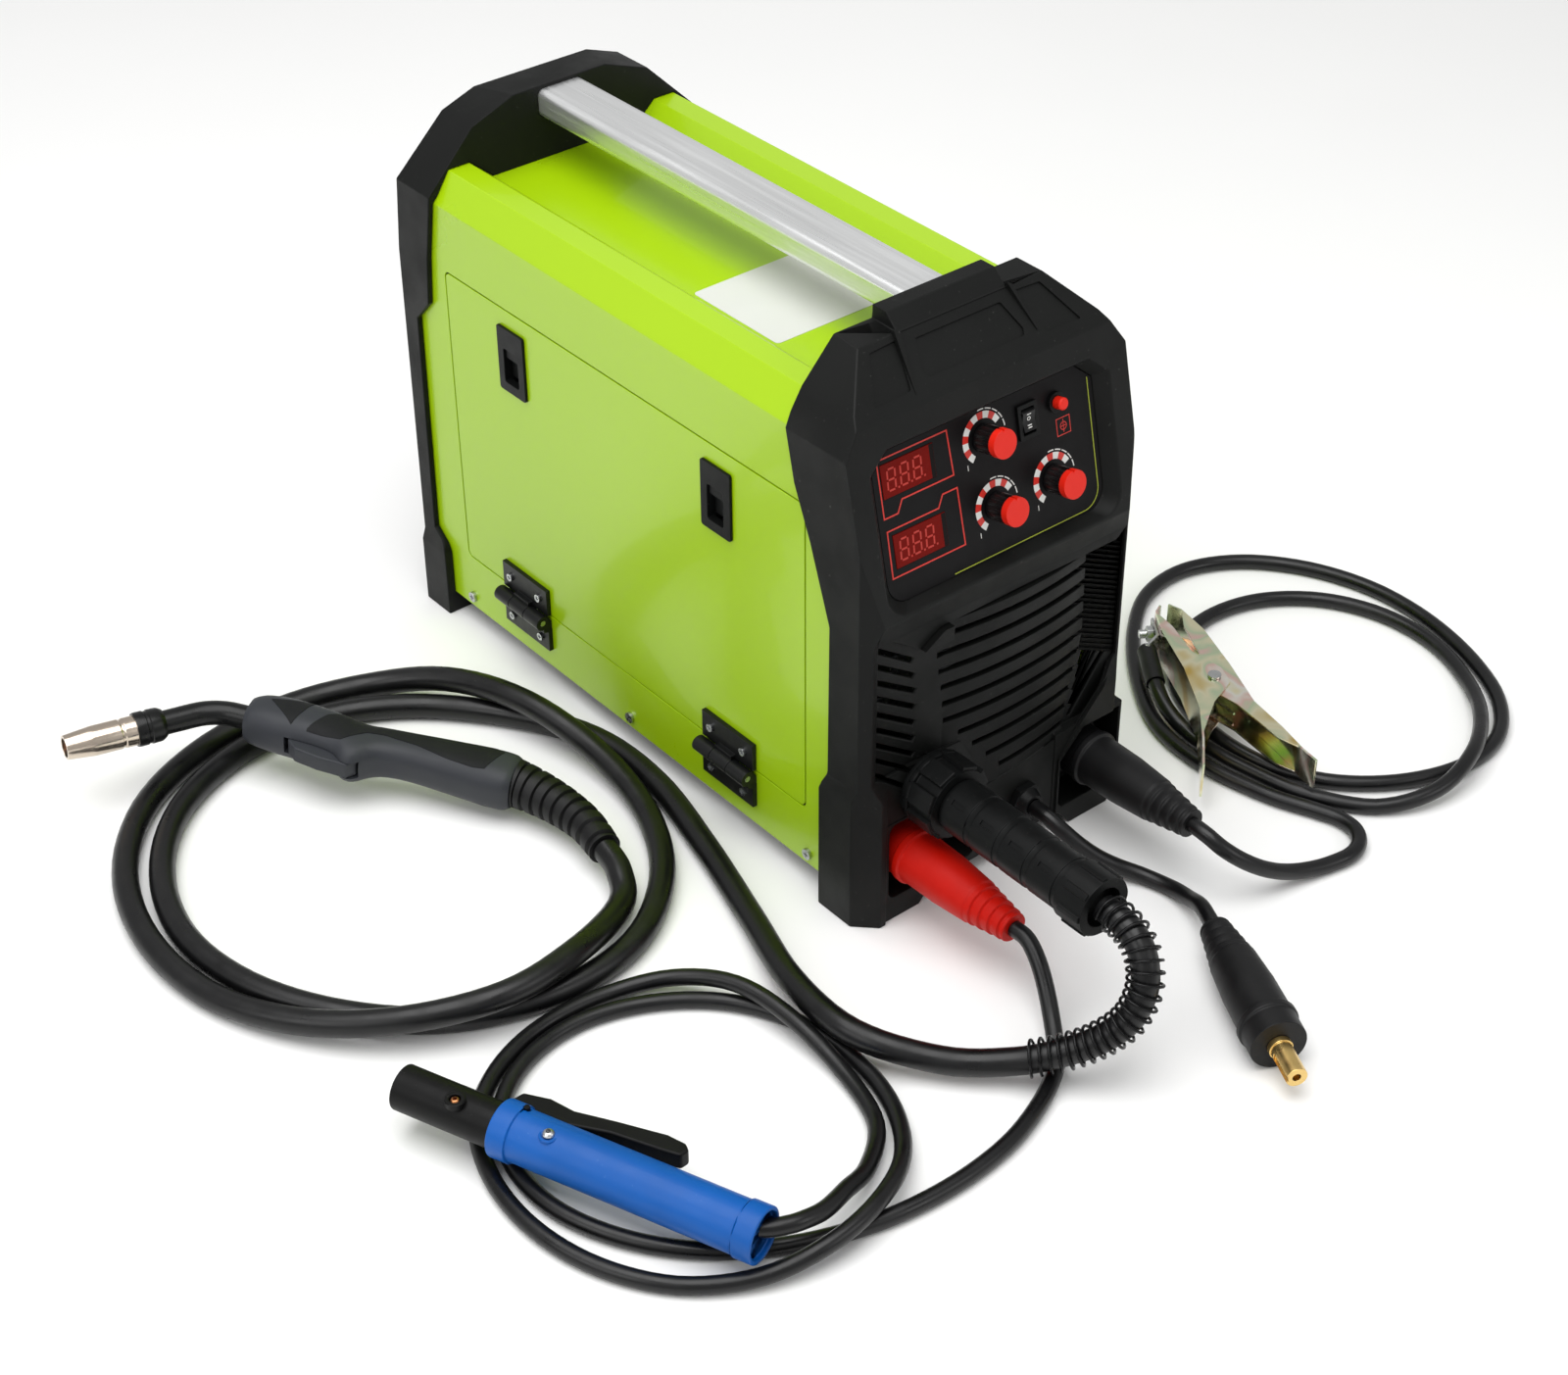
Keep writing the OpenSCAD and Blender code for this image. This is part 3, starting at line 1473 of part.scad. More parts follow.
module holder_lever() {
    color(black)
        at_holder()
            difference() {
                translate([0, 0, -5.7])
                    linear_extrude(11.4)
                        polygon([[4, 1.6], [4, 12], [20, 13], [34, 13], [60, 14], [64, 24], [80, 27.4],
                            [96, 25.6], [120, 30], [150, 34.6], [162, 33.6], [166, 30], [164, 24],
                            [152, 22.6], [122, 20.4], [100, 15], [88, 3], [36, 1.2]]);
                translate([head_l + 13, 7.2, -8])
                    cylinder(d = lever_pin_d + 2 * run_gap, h = 16);
            }
}

// ---- ground and polarity leads ----

module black_lead_plugs() {
    color(black) {
        translate([socket_x[1], plug_face, socket_z])
            plug_body();
        at_loose_plug()
            plug_body();
    }
}
// Bayonet pin, along +y out of the plug's face.
module plug_pin() {
    difference() {
        union() {
            rod_y(pin_d, -19, 27);
            rod_y(pin_d + 1.6, 0.2, 4);
        }
        rod_y(5, 20, 30);
        translate([pin_d / 2 - 1.6, 8, -2])
            cube([3, 30, 4]);
    }
}
module plug_pins() {
    color(brass) {
        for (x = socket_x)
            translate([x, plug_face, socket_z])
                intersection() {
                    plug_pin();
                    rod_y(pin_d, -30, 40);
                }
        at_loose_plug()
            plug_pin();
    }
}

// Ground clamp: x towards the jaws, y towards the fixed half, pivot at the origin.
module at_clamp() {
    translate([207, -225, 25.4])
        rotate([0, 0, 65])
            children();
}
clamp_w = 26;
clamp_t = 1.6;
// A pressed half: a band along a line, with two ears at the pivot.
function band(p, t) = concat(p, [for (i = [len(p) - 1:-1:0])
    let (a = p[max(0, i - 1)], b = p[min(len(p) - 1, i + 1)], n = unit(b - a))
    p[i] + t * [-n[1], n[0]]]);
upper_line = [[86, 6], [80, 11], [56, 15], [14, 16], [-30, 22], [-60, 32], [-86, 42]];
lower_line = [[-98, -31], [-84, -27], [-60, -23], [-30, -16], [12, -16], [54, -14], [80, -8],
    [88, -2]];
module clamp_half(line, ear, w, eye) {
    difference() {
        union() {
            translate([0, 0, -w / 2])
                linear_extrude(w)
                    polygon(band(line, clamp_t));
            for (z = [-w / 2, w / 2 - clamp_t])
                translate([0, 0, z])
                    linear_extrude(clamp_t)
                        polygon(ear);
        }
        translate([0, 0, -w])
            cylinder(d = eye, h = 2 * w);
    }
}
bolt_tilt = atan2(upper_line[2][1] - upper_line[1][1], upper_line[1][0] - upper_line[2][0]);
module at_bolt() {
    translate(upper_line[1] + [-8, 8 * tan(bolt_tilt)])
        rotate([0, 0, -bolt_tilt])
            children();
}
module clamp_jaw_upper() {
    color("#cdbb7a")
        at_clamp()
            difference() {
                clamp_half(upper_line, [[80, 11], [56, 15], [14, 16], [-30, 22], [-60, 32], [-50, 26],
                    [-26, 10], [-8, -8], [8, -8], [30, 4], [60, 6]], clamp_w, 6.02);
                at_bolt()
                    rotate([-90, 0, 0])
                        translate([0, 0, -8])
                            cylinder(d = 6.4, h = 16);
            }
}
module clamp_jaw_lower() {
    color("#cdbb7a")
        at_clamp()
            clamp_half(lower_line, [[80, -8], [54, -14], [12, -16], [-30, -16], [-60, -23],
                [-84, -27], [-70, -16], [-30, -4], [-8, 8], [8, 8], [30, -1], [60, -2]],
                clamp_w - 2 * clamp_t - 0.4, 6.2);
}
clamp_curls = 4;
clamp_coil = [for (i = [0:8 * clamp_curls])
    [4.2 * cos(i * 45 + 200), 4.2 * sin(i * 45 + 200), -5 + i * 10 / (8 * clamp_curls)]];
module clamp_spring() {
    color(steel)
        at_clamp()
            tube(concat([[-20, -7.4, -5], [-12, -5, -5]], clamp_coil, [[-9, 3, 5], [-15, 6, 5]]), 0.9, 6);
}
module clamp_fasteners() {
    color(steel)
        at_clamp() {
            // pivot rivet
            translate([0, 0, -clamp_w / 2 - 1.8])
                cylinder(d = 9, h = 1.7);
            translate([0, 0, -clamp_w / 2 - 0.2])
                cylinder(d = 6, h = clamp_w + 0.4);
            translate([0, 0, clamp_w / 2 + 0.1])
                cylinder(d = 9, h = 1.7);
            // bolt and nut for the lead's lug
            at_bolt()
                rotate([-90, 0, 0]) {
                    translate([0, 0, -5])
                        cylinder(d = 6, h = 17);
                    translate([0, 0, -clamp_t - seat - 4])
                        cylinder(d = 11, h = 4, $fn = 6);
                    translate([0, 0, 2 + 2 * seat])
                        cylinder(d = 11, h = 4.6, $fn = 6);
                }
        }
    color(brass) {
        at_clamp()
            at_bolt()
                difference() {
                    translate([0, 0, -6])
                        linear_extrude(12)
                            polygon([[-21, 9.6], [-10, seat], [10, seat], [10, seat + 2], [-9, seat + 2],
                                [-20, 11.4]]);
                    rotate([-90, 0, 0])
                        translate([0, 0, -1])
                            cylinder(d = 6.1, h = 9);
                }
        // crimped sleeve from the lead to the lug
        translate([189.9, -190, 20.6])
            rotate([0, 83, 55.6])
                difference() {
                    cylinder(d = 13, h = 33);
                    translate([0, 0, -1])
                        cylinder(d = 11.4, h = 2.6);
                }
    }
}

base_pan();
case_cover();
front_bezel();
rear_cover();
carry_handle();
case_screws();
hinge_case_leaves();
hinge_pins();
control_panel();
meter_displays();
switch_frames();
torch_socket();
lead_sockets();
cable_glands();
gas_inlet();
fan_frame();
inner_plate();
feed_motor();
spool_hub();
power_board();
side_door();
hinge_door_leaves();
latch_housings();
door_screws();
latch_slider_front();
latch_slider_rear();
speed_knob();
current_knob();
arc_knob();
mode_rocker();
purge_button();
power_rocker();
fan_rotor();
drive_roll();
pressure_arm();
tension_knob();
wire_spool();
spool_nut();
torch_plug();
torch_plug_nut();
torch_spring();
torch_cable();
torch_boot();
torch_handle();
torch_trigger();
torch_neck();
torch_nozzle();
holder_plug();
holder_cable();
holder_grip();
holder_jaws();
holder_lever();
black_lead_plugs();
ground_cable();
clamp_jaw_upper();
clamp_jaw_lower();
clamp_spring();
clamp_fasteners();
link_cable();
plug_pins();
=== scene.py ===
import bpy, bmesh, json
from math import copysign, cos, hypot, pi, radians, sin
from mathutils import Matrix, Vector
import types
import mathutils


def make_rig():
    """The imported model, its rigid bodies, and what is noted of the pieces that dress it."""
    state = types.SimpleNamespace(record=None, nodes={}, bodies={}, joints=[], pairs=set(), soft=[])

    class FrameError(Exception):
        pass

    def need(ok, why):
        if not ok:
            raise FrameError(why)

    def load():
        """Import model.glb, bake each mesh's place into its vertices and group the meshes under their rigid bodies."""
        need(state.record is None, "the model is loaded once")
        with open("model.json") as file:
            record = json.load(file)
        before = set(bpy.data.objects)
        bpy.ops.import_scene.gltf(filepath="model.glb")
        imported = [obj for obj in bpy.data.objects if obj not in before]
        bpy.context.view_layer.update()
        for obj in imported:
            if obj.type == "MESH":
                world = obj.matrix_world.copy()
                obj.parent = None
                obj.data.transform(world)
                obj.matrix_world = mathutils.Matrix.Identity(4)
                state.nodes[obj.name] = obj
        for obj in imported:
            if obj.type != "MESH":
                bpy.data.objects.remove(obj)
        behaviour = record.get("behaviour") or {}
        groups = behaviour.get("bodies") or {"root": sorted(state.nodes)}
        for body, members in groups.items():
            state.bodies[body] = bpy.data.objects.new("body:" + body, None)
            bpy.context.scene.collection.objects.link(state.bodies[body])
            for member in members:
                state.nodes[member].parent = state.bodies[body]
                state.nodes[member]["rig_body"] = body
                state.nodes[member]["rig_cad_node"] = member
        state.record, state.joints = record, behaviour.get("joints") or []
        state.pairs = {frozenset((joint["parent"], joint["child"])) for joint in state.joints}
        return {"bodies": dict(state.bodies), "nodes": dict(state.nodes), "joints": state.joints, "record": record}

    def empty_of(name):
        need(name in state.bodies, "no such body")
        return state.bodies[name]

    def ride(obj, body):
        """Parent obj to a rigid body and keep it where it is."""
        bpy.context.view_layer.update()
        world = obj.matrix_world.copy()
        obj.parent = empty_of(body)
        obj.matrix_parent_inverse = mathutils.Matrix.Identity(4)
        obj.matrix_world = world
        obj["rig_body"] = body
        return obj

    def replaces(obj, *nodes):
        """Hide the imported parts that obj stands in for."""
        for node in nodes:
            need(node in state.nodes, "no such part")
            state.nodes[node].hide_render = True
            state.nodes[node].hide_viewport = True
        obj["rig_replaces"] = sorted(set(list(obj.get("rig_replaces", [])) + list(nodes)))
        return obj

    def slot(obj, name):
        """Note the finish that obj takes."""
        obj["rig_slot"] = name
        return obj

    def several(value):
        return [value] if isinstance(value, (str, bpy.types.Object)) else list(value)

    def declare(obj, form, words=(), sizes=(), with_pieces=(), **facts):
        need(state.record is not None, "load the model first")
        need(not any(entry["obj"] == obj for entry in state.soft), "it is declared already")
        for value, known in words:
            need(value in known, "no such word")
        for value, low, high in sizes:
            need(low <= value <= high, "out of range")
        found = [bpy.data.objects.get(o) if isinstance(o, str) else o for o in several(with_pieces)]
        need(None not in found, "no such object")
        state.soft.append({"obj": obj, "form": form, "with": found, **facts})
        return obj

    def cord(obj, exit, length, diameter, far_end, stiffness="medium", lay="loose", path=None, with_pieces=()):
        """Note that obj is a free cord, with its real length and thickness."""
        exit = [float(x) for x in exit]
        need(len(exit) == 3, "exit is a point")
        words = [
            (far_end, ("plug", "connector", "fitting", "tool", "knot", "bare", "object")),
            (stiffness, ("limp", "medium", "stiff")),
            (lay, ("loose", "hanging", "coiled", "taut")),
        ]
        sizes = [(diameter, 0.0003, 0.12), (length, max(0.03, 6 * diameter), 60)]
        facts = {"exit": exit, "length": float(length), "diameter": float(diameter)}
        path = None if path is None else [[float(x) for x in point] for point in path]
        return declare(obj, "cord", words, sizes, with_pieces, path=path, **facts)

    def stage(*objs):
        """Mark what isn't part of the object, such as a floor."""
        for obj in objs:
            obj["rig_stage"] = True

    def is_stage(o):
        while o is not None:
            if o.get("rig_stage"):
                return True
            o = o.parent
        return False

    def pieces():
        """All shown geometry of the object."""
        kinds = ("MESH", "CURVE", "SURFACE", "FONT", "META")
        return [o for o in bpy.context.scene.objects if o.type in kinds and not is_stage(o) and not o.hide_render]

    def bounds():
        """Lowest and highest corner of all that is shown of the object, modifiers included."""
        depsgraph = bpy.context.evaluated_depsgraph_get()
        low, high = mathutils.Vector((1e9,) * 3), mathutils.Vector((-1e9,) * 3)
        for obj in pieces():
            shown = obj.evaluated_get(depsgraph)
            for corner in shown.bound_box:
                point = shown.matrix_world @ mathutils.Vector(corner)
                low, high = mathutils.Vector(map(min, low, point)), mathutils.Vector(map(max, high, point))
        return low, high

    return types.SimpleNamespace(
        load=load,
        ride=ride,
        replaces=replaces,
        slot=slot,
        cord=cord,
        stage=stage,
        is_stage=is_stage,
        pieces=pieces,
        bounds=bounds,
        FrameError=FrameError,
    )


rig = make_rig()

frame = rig.load()
solid_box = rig.bounds()

# ---- The view: a long lens, high and to the left of the machine's front ----
# The camera stands 1.9 m off, looking down on the door side and the control panel.
eye = bpy.data.cameras.new("eye")
eye.sensor_width = 36
eye.lens = 64.21
eye.clip_end = 60
camera = bpy.data.objects.new("camera", eye)
camera.matrix_world = Matrix(((0.771406, 0.382427, -0.508608, -0.94521),
                              (-0.636322, 0.457137, -0.621386, -1.18743),
                              (-0.005131, 0.802979, 0.595985, 1.12568),
                              (0, 0, 0, 1)))
bpy.context.scene.collection.objects.link(camera)
bpy.context.scene.camera = camera
bpy.context.scene.view_settings.view_transform = "Standard"


# ---- The coats: every surface's colour, roughness and grain ----
# Each coat is mixed from noises laid on the piece itself: one for slow changes of tint, one for the
# grain that catches the light, and one for the flecks of dust that settle on dark plastic. shine is
# how much the bare surface mirrors, gloss a clear layer over it, and bend a slow ripple in it.
def paint(shade):
    parts = [int(shade[i:i + 2], 16) / 255 for i in (0, 2, 4)]
    return [p / 12.92 if p < 0.04045 else ((p + 0.055) / 1.055) ** 2.4 for p in parts] + [1.0]


def coat(name, shade, roughness, metal=0.0, tint=0.08, blotch=30.0, grain=0.08, grain_size=900.0,
         gloss=0.0, gloss_rough=0.06, uneven=0.06, along=(1, 1, 1), flecks=0.0, fleck_shade="8a8a86",
         bend=0.0, shine=0.5):
    mat = bpy.data.materials.new(name)
    mat.use_nodes = True
    node, link = mat.node_tree.nodes.new, mat.node_tree.links.new
    shader = mat.node_tree.nodes["Principled BSDF"]
    place = node("ShaderNodeTexCoord")
    spread = node("ShaderNodeMapping")
    spread.inputs["Scale"].default_value = along
    link(place.outputs["Object"], spread.inputs["Vector"])

    def noise(size, detail):
        n = node("ShaderNodeTexNoise")
        n.inputs["Scale"].default_value = size
        n.inputs["Detail"].default_value = detail
        link(spread.outputs["Vector"], n.inputs["Vector"])
        return n.outputs["Fac"]

    def ranged(value, low, high, to_low, to_high):
        ramp = node("ShaderNodeMapRange")
        for key, number in (("From Min", low), ("From Max", high), ("To Min", to_low), ("To Max", to_high)):
            ramp.inputs[key].default_value = number
        link(value, ramp.inputs["Value"])
        return ramp.outputs["Result"]

    def bumped(height, strength, distance):
        bump = node("ShaderNodeBump")
        bump.inputs["Strength"].default_value = strength
        bump.inputs["Distance"].default_value = distance
        link(height, bump.inputs["Height"])
        return bump

    mix = node("ShaderNodeMix")
    mix.data_type = "RGBA"
    base = paint(shade)
    mix.inputs["A"].default_value = [c * (1 - tint) for c in base[:3]] + [1]
    mix.inputs["B"].default_value = [min(1, c * (1 + tint)) for c in base[:3]] + [1]
    link(ranged(noise(blotch, 4), 0.3, 0.7, 0, 1), mix.inputs["Factor"])
    colour = mix.outputs["Result"]
    if flecks:
        dust = node("ShaderNodeMix")
        dust.data_type = "RGBA"
        dust.inputs["B"].default_value = paint(fleck_shade)
        link(colour, dust.inputs["A"])
        link(ranged(noise(420, 2), 0.70, 0.78, 0, flecks), dust.inputs["Factor"])
        colour = dust.outputs["Result"]
    link(colour, shader.inputs["Base Color"])
    rough = ranged(noise(blotch * 2.3, 5), 0.3, 0.7, max(0.02, roughness - uneven),
                   min(1, roughness + uneven))
    link(rough, shader.inputs["Roughness"])
    bump = bumped(noise(grain_size, 3), grain, 0.0004)
    if bend:
        link(bumped(noise(55, 2), bend, 0.002).outputs["Normal"], bump.inputs["Normal"])
    link(bump.outputs["Normal"], shader.inputs["Normal"])
    shader.inputs["Metallic"].default_value = metal
    shader.inputs["Specular IOR Level"].default_value = shine
    shader.inputs["Coat Weight"].default_value = gloss
    shader.inputs["Coat Roughness"].default_value = gloss_rough
    return mat


# ---- The room: a white table under big soft lamps ----
# One soft box hangs over the machine, one stands by its door, and a weaker one lights the front.
table = bpy.data.meshes.new("table")
table.from_pydata([(-9, -9, 0), (9, -9, 0), (9, 9, 0), (-9, 9, 0)], [], [(0, 1, 2, 3)])
table.materials.append(coat("white_paper", "f4f4f3", 0.75, tint=0.008, blotch=2, grain=0.02, grain_size=300))
table_top = bpy.data.objects.new("table_top", table)
bpy.context.scene.collection.objects.link(table_top)
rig.stage(table_top)
sky = bpy.data.worlds.new("sky")
bpy.context.scene.world = sky
sky.use_nodes = True
sky.node_tree.nodes["Background"].inputs["Color"].default_value = (1.0, 1.0, 1.0, 1)
sky.node_tree.nodes["Background"].inputs["Strength"].default_value = 0.50
for name, place, aim, wide, high, power in (("over", (-0.5, -0.2, 2.3), (0.0, 0.0, 0.1), 2.4, 2.0, 54),
                                            ("door_side", (-2.4, -0.3, 1.5), (0.0, 0.0, 0.15), 1.6, 1.2, 14),
                                            ("front", (0.9, -2.6, 1.5), (0.0, 0.0, 0.1), 1.4, 1.2, 10)):
    lamp = bpy.data.lights.new(name, "AREA")
    lamp.shape = "RECTANGLE"
    lamp.size, lamp.size_y, lamp.energy = wide, high, power
    stand = bpy.data.objects.new(name, lamp)
    stand.matrix_world = (Matrix.Translation(place)
                          @ (Vector(place) - Vector(aim)).to_track_quat("Z", "Y").to_matrix().to_4x4())
    bpy.context.scene.collection.objects.link(stand)


# ---- The four leads: copper strand in a black rubber jacket ----
# The torch lead is a thick gas and wire hose, the other three are thin welding cable. Each is one
# round jacket drawn along its own middle line, so one rule makes all four and the plug's spring.
def spline(a, b, c, d, t):
    return 0.5 * (2 * b + (c - a) * t + (2 * a - 5 * b + 4 * c - d) * t * t
                  + (3 * b - 3 * c + d - a) * t ** 3)


def sampled(p, steps):
    n = len(p)
    return [spline(p[max(0, i - 1)], p[i], p[i + 1], p[min(n - 1, i + 2)], k / steps)
            for i in range(n - 1) for k in range(steps)] + [p[-1]]


def eased(route, steps, low=-1.0):
    line = sampled([Vector(q) for q in route], steps)
    return [Vector((q.x, q.y, max(q.z, low))) / 1000 for q in line]


def length_of(line):
    return sum((b - a).length for a, b in zip(line, line[1:]))


def linked(name, data):
    obj = bpy.data.objects.new(name, data)
    bpy.context.scene.collection.objects.link(obj)
    return obj


def as_mesh(obj):
    # The object's mesh as its modifiers and rules leave it.
    graph = bpy.context.evaluated_depsgraph_get()
    graph.update()
    return bpy.data.meshes.new_from_object(obj.evaluated_get(graph), depsgraph=graph)


def part_of(body, piece, slot, node=None):
    # The piece rides on the body; with a node, it also stands for that node of the frame.
    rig.ride(piece, body)
    if node:
        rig.replaces(piece, node)
    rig.slot(piece, slot)
    return piece


def drawn_line(name, line):
    curve = bpy.data.curves.new(name, "CURVE")
    curve.dimensions = "3D"
    curve.twist_mode = "Z_UP"
    thread = curve.splines.new("POLY")
    thread.points.add(len(line) - 1)
    for point, place in zip(thread.points, line):
        point.co = (*place, 1)
    return linked(name, curve)


def new_rule(name, result, **inputs):
    tree = bpy.data.node_groups.new(name, "GeometryNodeTree")
    for label, kind in inputs.items():
        tree.interface.new_socket(label, in_out="INPUT", socket_type="NodeSocket" + kind)
    tree.interface.new_socket(result, in_out="OUTPUT", socket_type="NodeSocketGeometry")
    return tree, tree.nodes.new("NodeGroupInput"), tree.nodes.new("NodeGroupOutput")


def wired(tree, *joins):
    for giver, out, taker, into in joins:
        tree.links.new(giver.outputs[out], taker.inputs[into])
    return tree


def jacket_rule():
    # A round profile swept along the line, closed at both ends.
    tree, start, end = new_rule("jacket_along_line", "Jacket", Line="Geometry", Radius="Float", Sides="Int",
                                Coat="Material")
    new = tree.nodes.new
    ring, sweep = new("GeometryNodeCurvePrimitiveCircle"), new("GeometryNodeCurveToMesh")
    sweep.inputs["Fill Caps"].default_value = True
    smooth, real = new("GeometryNodeSetShadeSmooth"), new("GeometryNodeRealizeInstances")
    dye = new("GeometryNodeSetMaterial")
    return wired(tree, (start, "Line", sweep, "Curve"), (start, "Radius", ring, "Radius"),
                 (start, "Sides", ring, "Resolution"), (ring, "Curve", sweep, "Profile Curve"),
                 (sweep, "Mesh", smooth, "Geometry"), (smooth, "Geometry", real, "Geometry"),
                 (real, "Geometry", dye, "Geometry"), (start, "Coat", dye, "Material"),
                 (dye, "Geometry", end, "Jacket"))


def made_by(rule, obj, name, **sizes):
    # Runs a rule on an object and keeps the result as a plain mesh.
    step = obj.modifiers.new("rule", "NODES")
    step.node_group = rule
    for item in rule.interface.items_tree:
        if item.in_out == "INPUT" and item.name in sizes:
            step[item.identifier] = sizes[item.name]
    mesh = as_mesh(obj)
    bpy.data.objects.remove(obj)
    mesh.name = name
    return linked(name, mesh)


jacket = jacket_rule()
rubber = coat("black_cable_rubber", "0c0c0d", 0.34, tint=0.18, blotch=26, grain=0.05, grain_size=500,
              uneven=0.09, flecks=0.05, bend=0.05, shine=0.38)
torch_d, lead_d = 16.6, 10.3
torch_route = [
    [-58, -385, 93], [-58, -400, 92], [-59, -413, 87], [-62, -422.5, 77.5], [-67, -427.5, 64],
    [-76, -426.5, 48], [-88, -418, 34.5], [-103, -405, 24], [-124, -387, 16.5], [-153, -358, 14],
    [-181, -313.5, 20], [-177, -254.5, 16], [-155, -188, 9.5], [-134.5, -118, 8.3], [-119.5, -48.5, 8.3],
    [-122.5, 14.5, 8.3], [-151, 72, 8.3], [-196.5, 122, 8.3], [-251, 149, 8.3], [-312, 149, 8.3],
    [-368.5, 122.5, 8.3], [-408, 75, 8.3], [-426.5, 15, 8.3], [-419, -47, 8.3], [-389, -104, 8.3],
    [-343, -148, 8.3], [-283.5, -167.5, 8.3], [-224, -162.5, 8.3], [-175, -127, 8.3], [-144.5, -73.5, 9],
    [-135.5, -11.5, 16], [-147, 54.5, 26.5], [-169, 115, 21.5], [-207.5, 157.5, 10], [-265, 174, 8.3],
    [-329.5, 167, 8.3], [-385.5, 138.5, 8.3], [-426, 89, 8.3], [-445, 27.5, 8.3], [-442, -37, 8.3],
    [-416.5, -96, 13.5], [-373.5, -142, 21.5], [-317.5, -167, 26.5], [-260.5, -160, 24], [-211, -133, 12],
    [-195.5, -111, 15.5], [-191.4, -91, 18.6]]
holder_route = [
    [-69, -326.6, 44], [-69, -338, 43.2], [-71.5, -350, 36], [-76, -362, 25.5], [-83, -375, 14.5],
    [-92, -388, 7.5], [-103, -399, 5.2], [-129, -413, 5.2], [-165, -424, 5.2], [-210, -427, 5.2],
    [-257.5, -420.5, 5.2], [-302, -403.5, 5.2], [-340, -377, 5.2], [-368, -341.5, 5.2], [-383, -300, 5.2],
    [-380.5, -258, 5.2], [-361, -222, 5.2], [-327.5, -199.5, 5.2], [-287, -194, 5.2], [-246, -207, 5.2],
    [-211.5, -234, 5.2], [-191, -270.5, 5.2], [-184, -314.5, 5.2], [-191, -357.5, 5.4], [-213.5, -394, 9.5],
    [-247.5, -416, 16], [-287.5, -423, 15], [-328.5, -413, 8], [-365, -387.5, 5.2], [-389, -350.5, 5.2],
    [-399.5, -307, 5.2], [-396, -262.5, 5.2], [-378, -222.5, 5.2], [-346.5, -196, 5.2], [-306, -183, 5.2],
    [-261.5, -185, 5.2], [-225, -203, 10], [-204, -236, 16.2], [-196.5, -278.5, 14.5], [-197, -326, 6.5],
    [-209, -366, 6], [-237, -391.5, 11], [-262, -402, 18.5], [-283, -409.5, 24], [-298.3, -410.1, 27.2],
    [-307.9, -407.5, 27.8], [-316.7, -402.9, 27.8], [-323.5, -396.4, 27.8], [-328.6, -388, 27.8],
    [-332.1, -379, 27.8]]
ground_route = [
    [79.5, -326.5, 44], [79.5, -339, 43.2], [83.5, -350.5, 37], [94, -360, 27.5], [109, -366.5, 17.5],
    [127, -371, 9.5], [148, -376, 5.5], [168, -379.5, 5.2], [181.5, -376, 5.2], [190.5, -365.5, 5.2],
    [191.5, -351, 5.2], [186, -335, 5.2], [174, -303.5, 5.2], [166, -254, 5.2], [173.5, -208.5, 5.2],
    [201, -163.5, 5.2], [236.5, -125, 5.2], [276, -98.5, 5.2], [318, -93.5, 5.2], [357.5, -112, 5.2],
    [387, -148, 5.2], [403, -193.5, 5.2], [403.5, -242.5, 5.2], [391, -292, 5.2], [368, -335, 5.2],
    [334, -361.5, 5.2], [291.5, -366, 5.2], [248, -350, 5.2], [213.5, -319.5, 5.2], [196, -278.5, 5.2],
    [196.5, -231.5, 5.2], [213.5, -188.5, 5.2], [245.5, -157.5, 5.2], [287, -145, 5.2], [330, -153, 5.2],
    [365, -180.5, 5.2], [384, -220.5, 5.2], [384.5, -266, 5.2], [367, -309, 6.5], [336, -345, 12.8],
    [296, -370, 16.6], [255, -376, 11], [218, -358, 5.3], [193.5, -320, 5.2], [183, -273, 5.2],
    [181, -240.4, 5.2], [181.5, -224.4, 7.6], [181.6, -209.6, 14.3], [185, -198.8, 18.5],
    [189.9, -190, 20.6]]
link_route = [
    [21, -249.4, 40], [21, -261, 39.2], [24, -272, 33.5], [30, -281.5, 25], [38, -290, 16.5],
    [47, -299, 10], [55, -309.5, 6.5], [60, -322, 5.2], [61.5, -335, 6.5], [59, -348, 10], [54, -361, 16],
    [47.8, -372.7, 18.6], [43, -382.6, 18.6]]
leads = {}
for node, route, across in (("torch_cable", torch_route, torch_d), ("holder_cable", holder_route, lead_d),
                            ("ground_cable", ground_route, lead_d), ("link_cable", link_route, lead_d)):
    line = eased(route, 6, across / 2 + 0.05)
    lead = made_by(jacket, drawn_line(node + "_jacket", line), node + "_jacket", Radius=across / 2000,
                   Sides=20, Coat=rubber)
    leads[node] = part_of(frame["nodes"][node]["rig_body"], lead, "cable_rubber", node), line


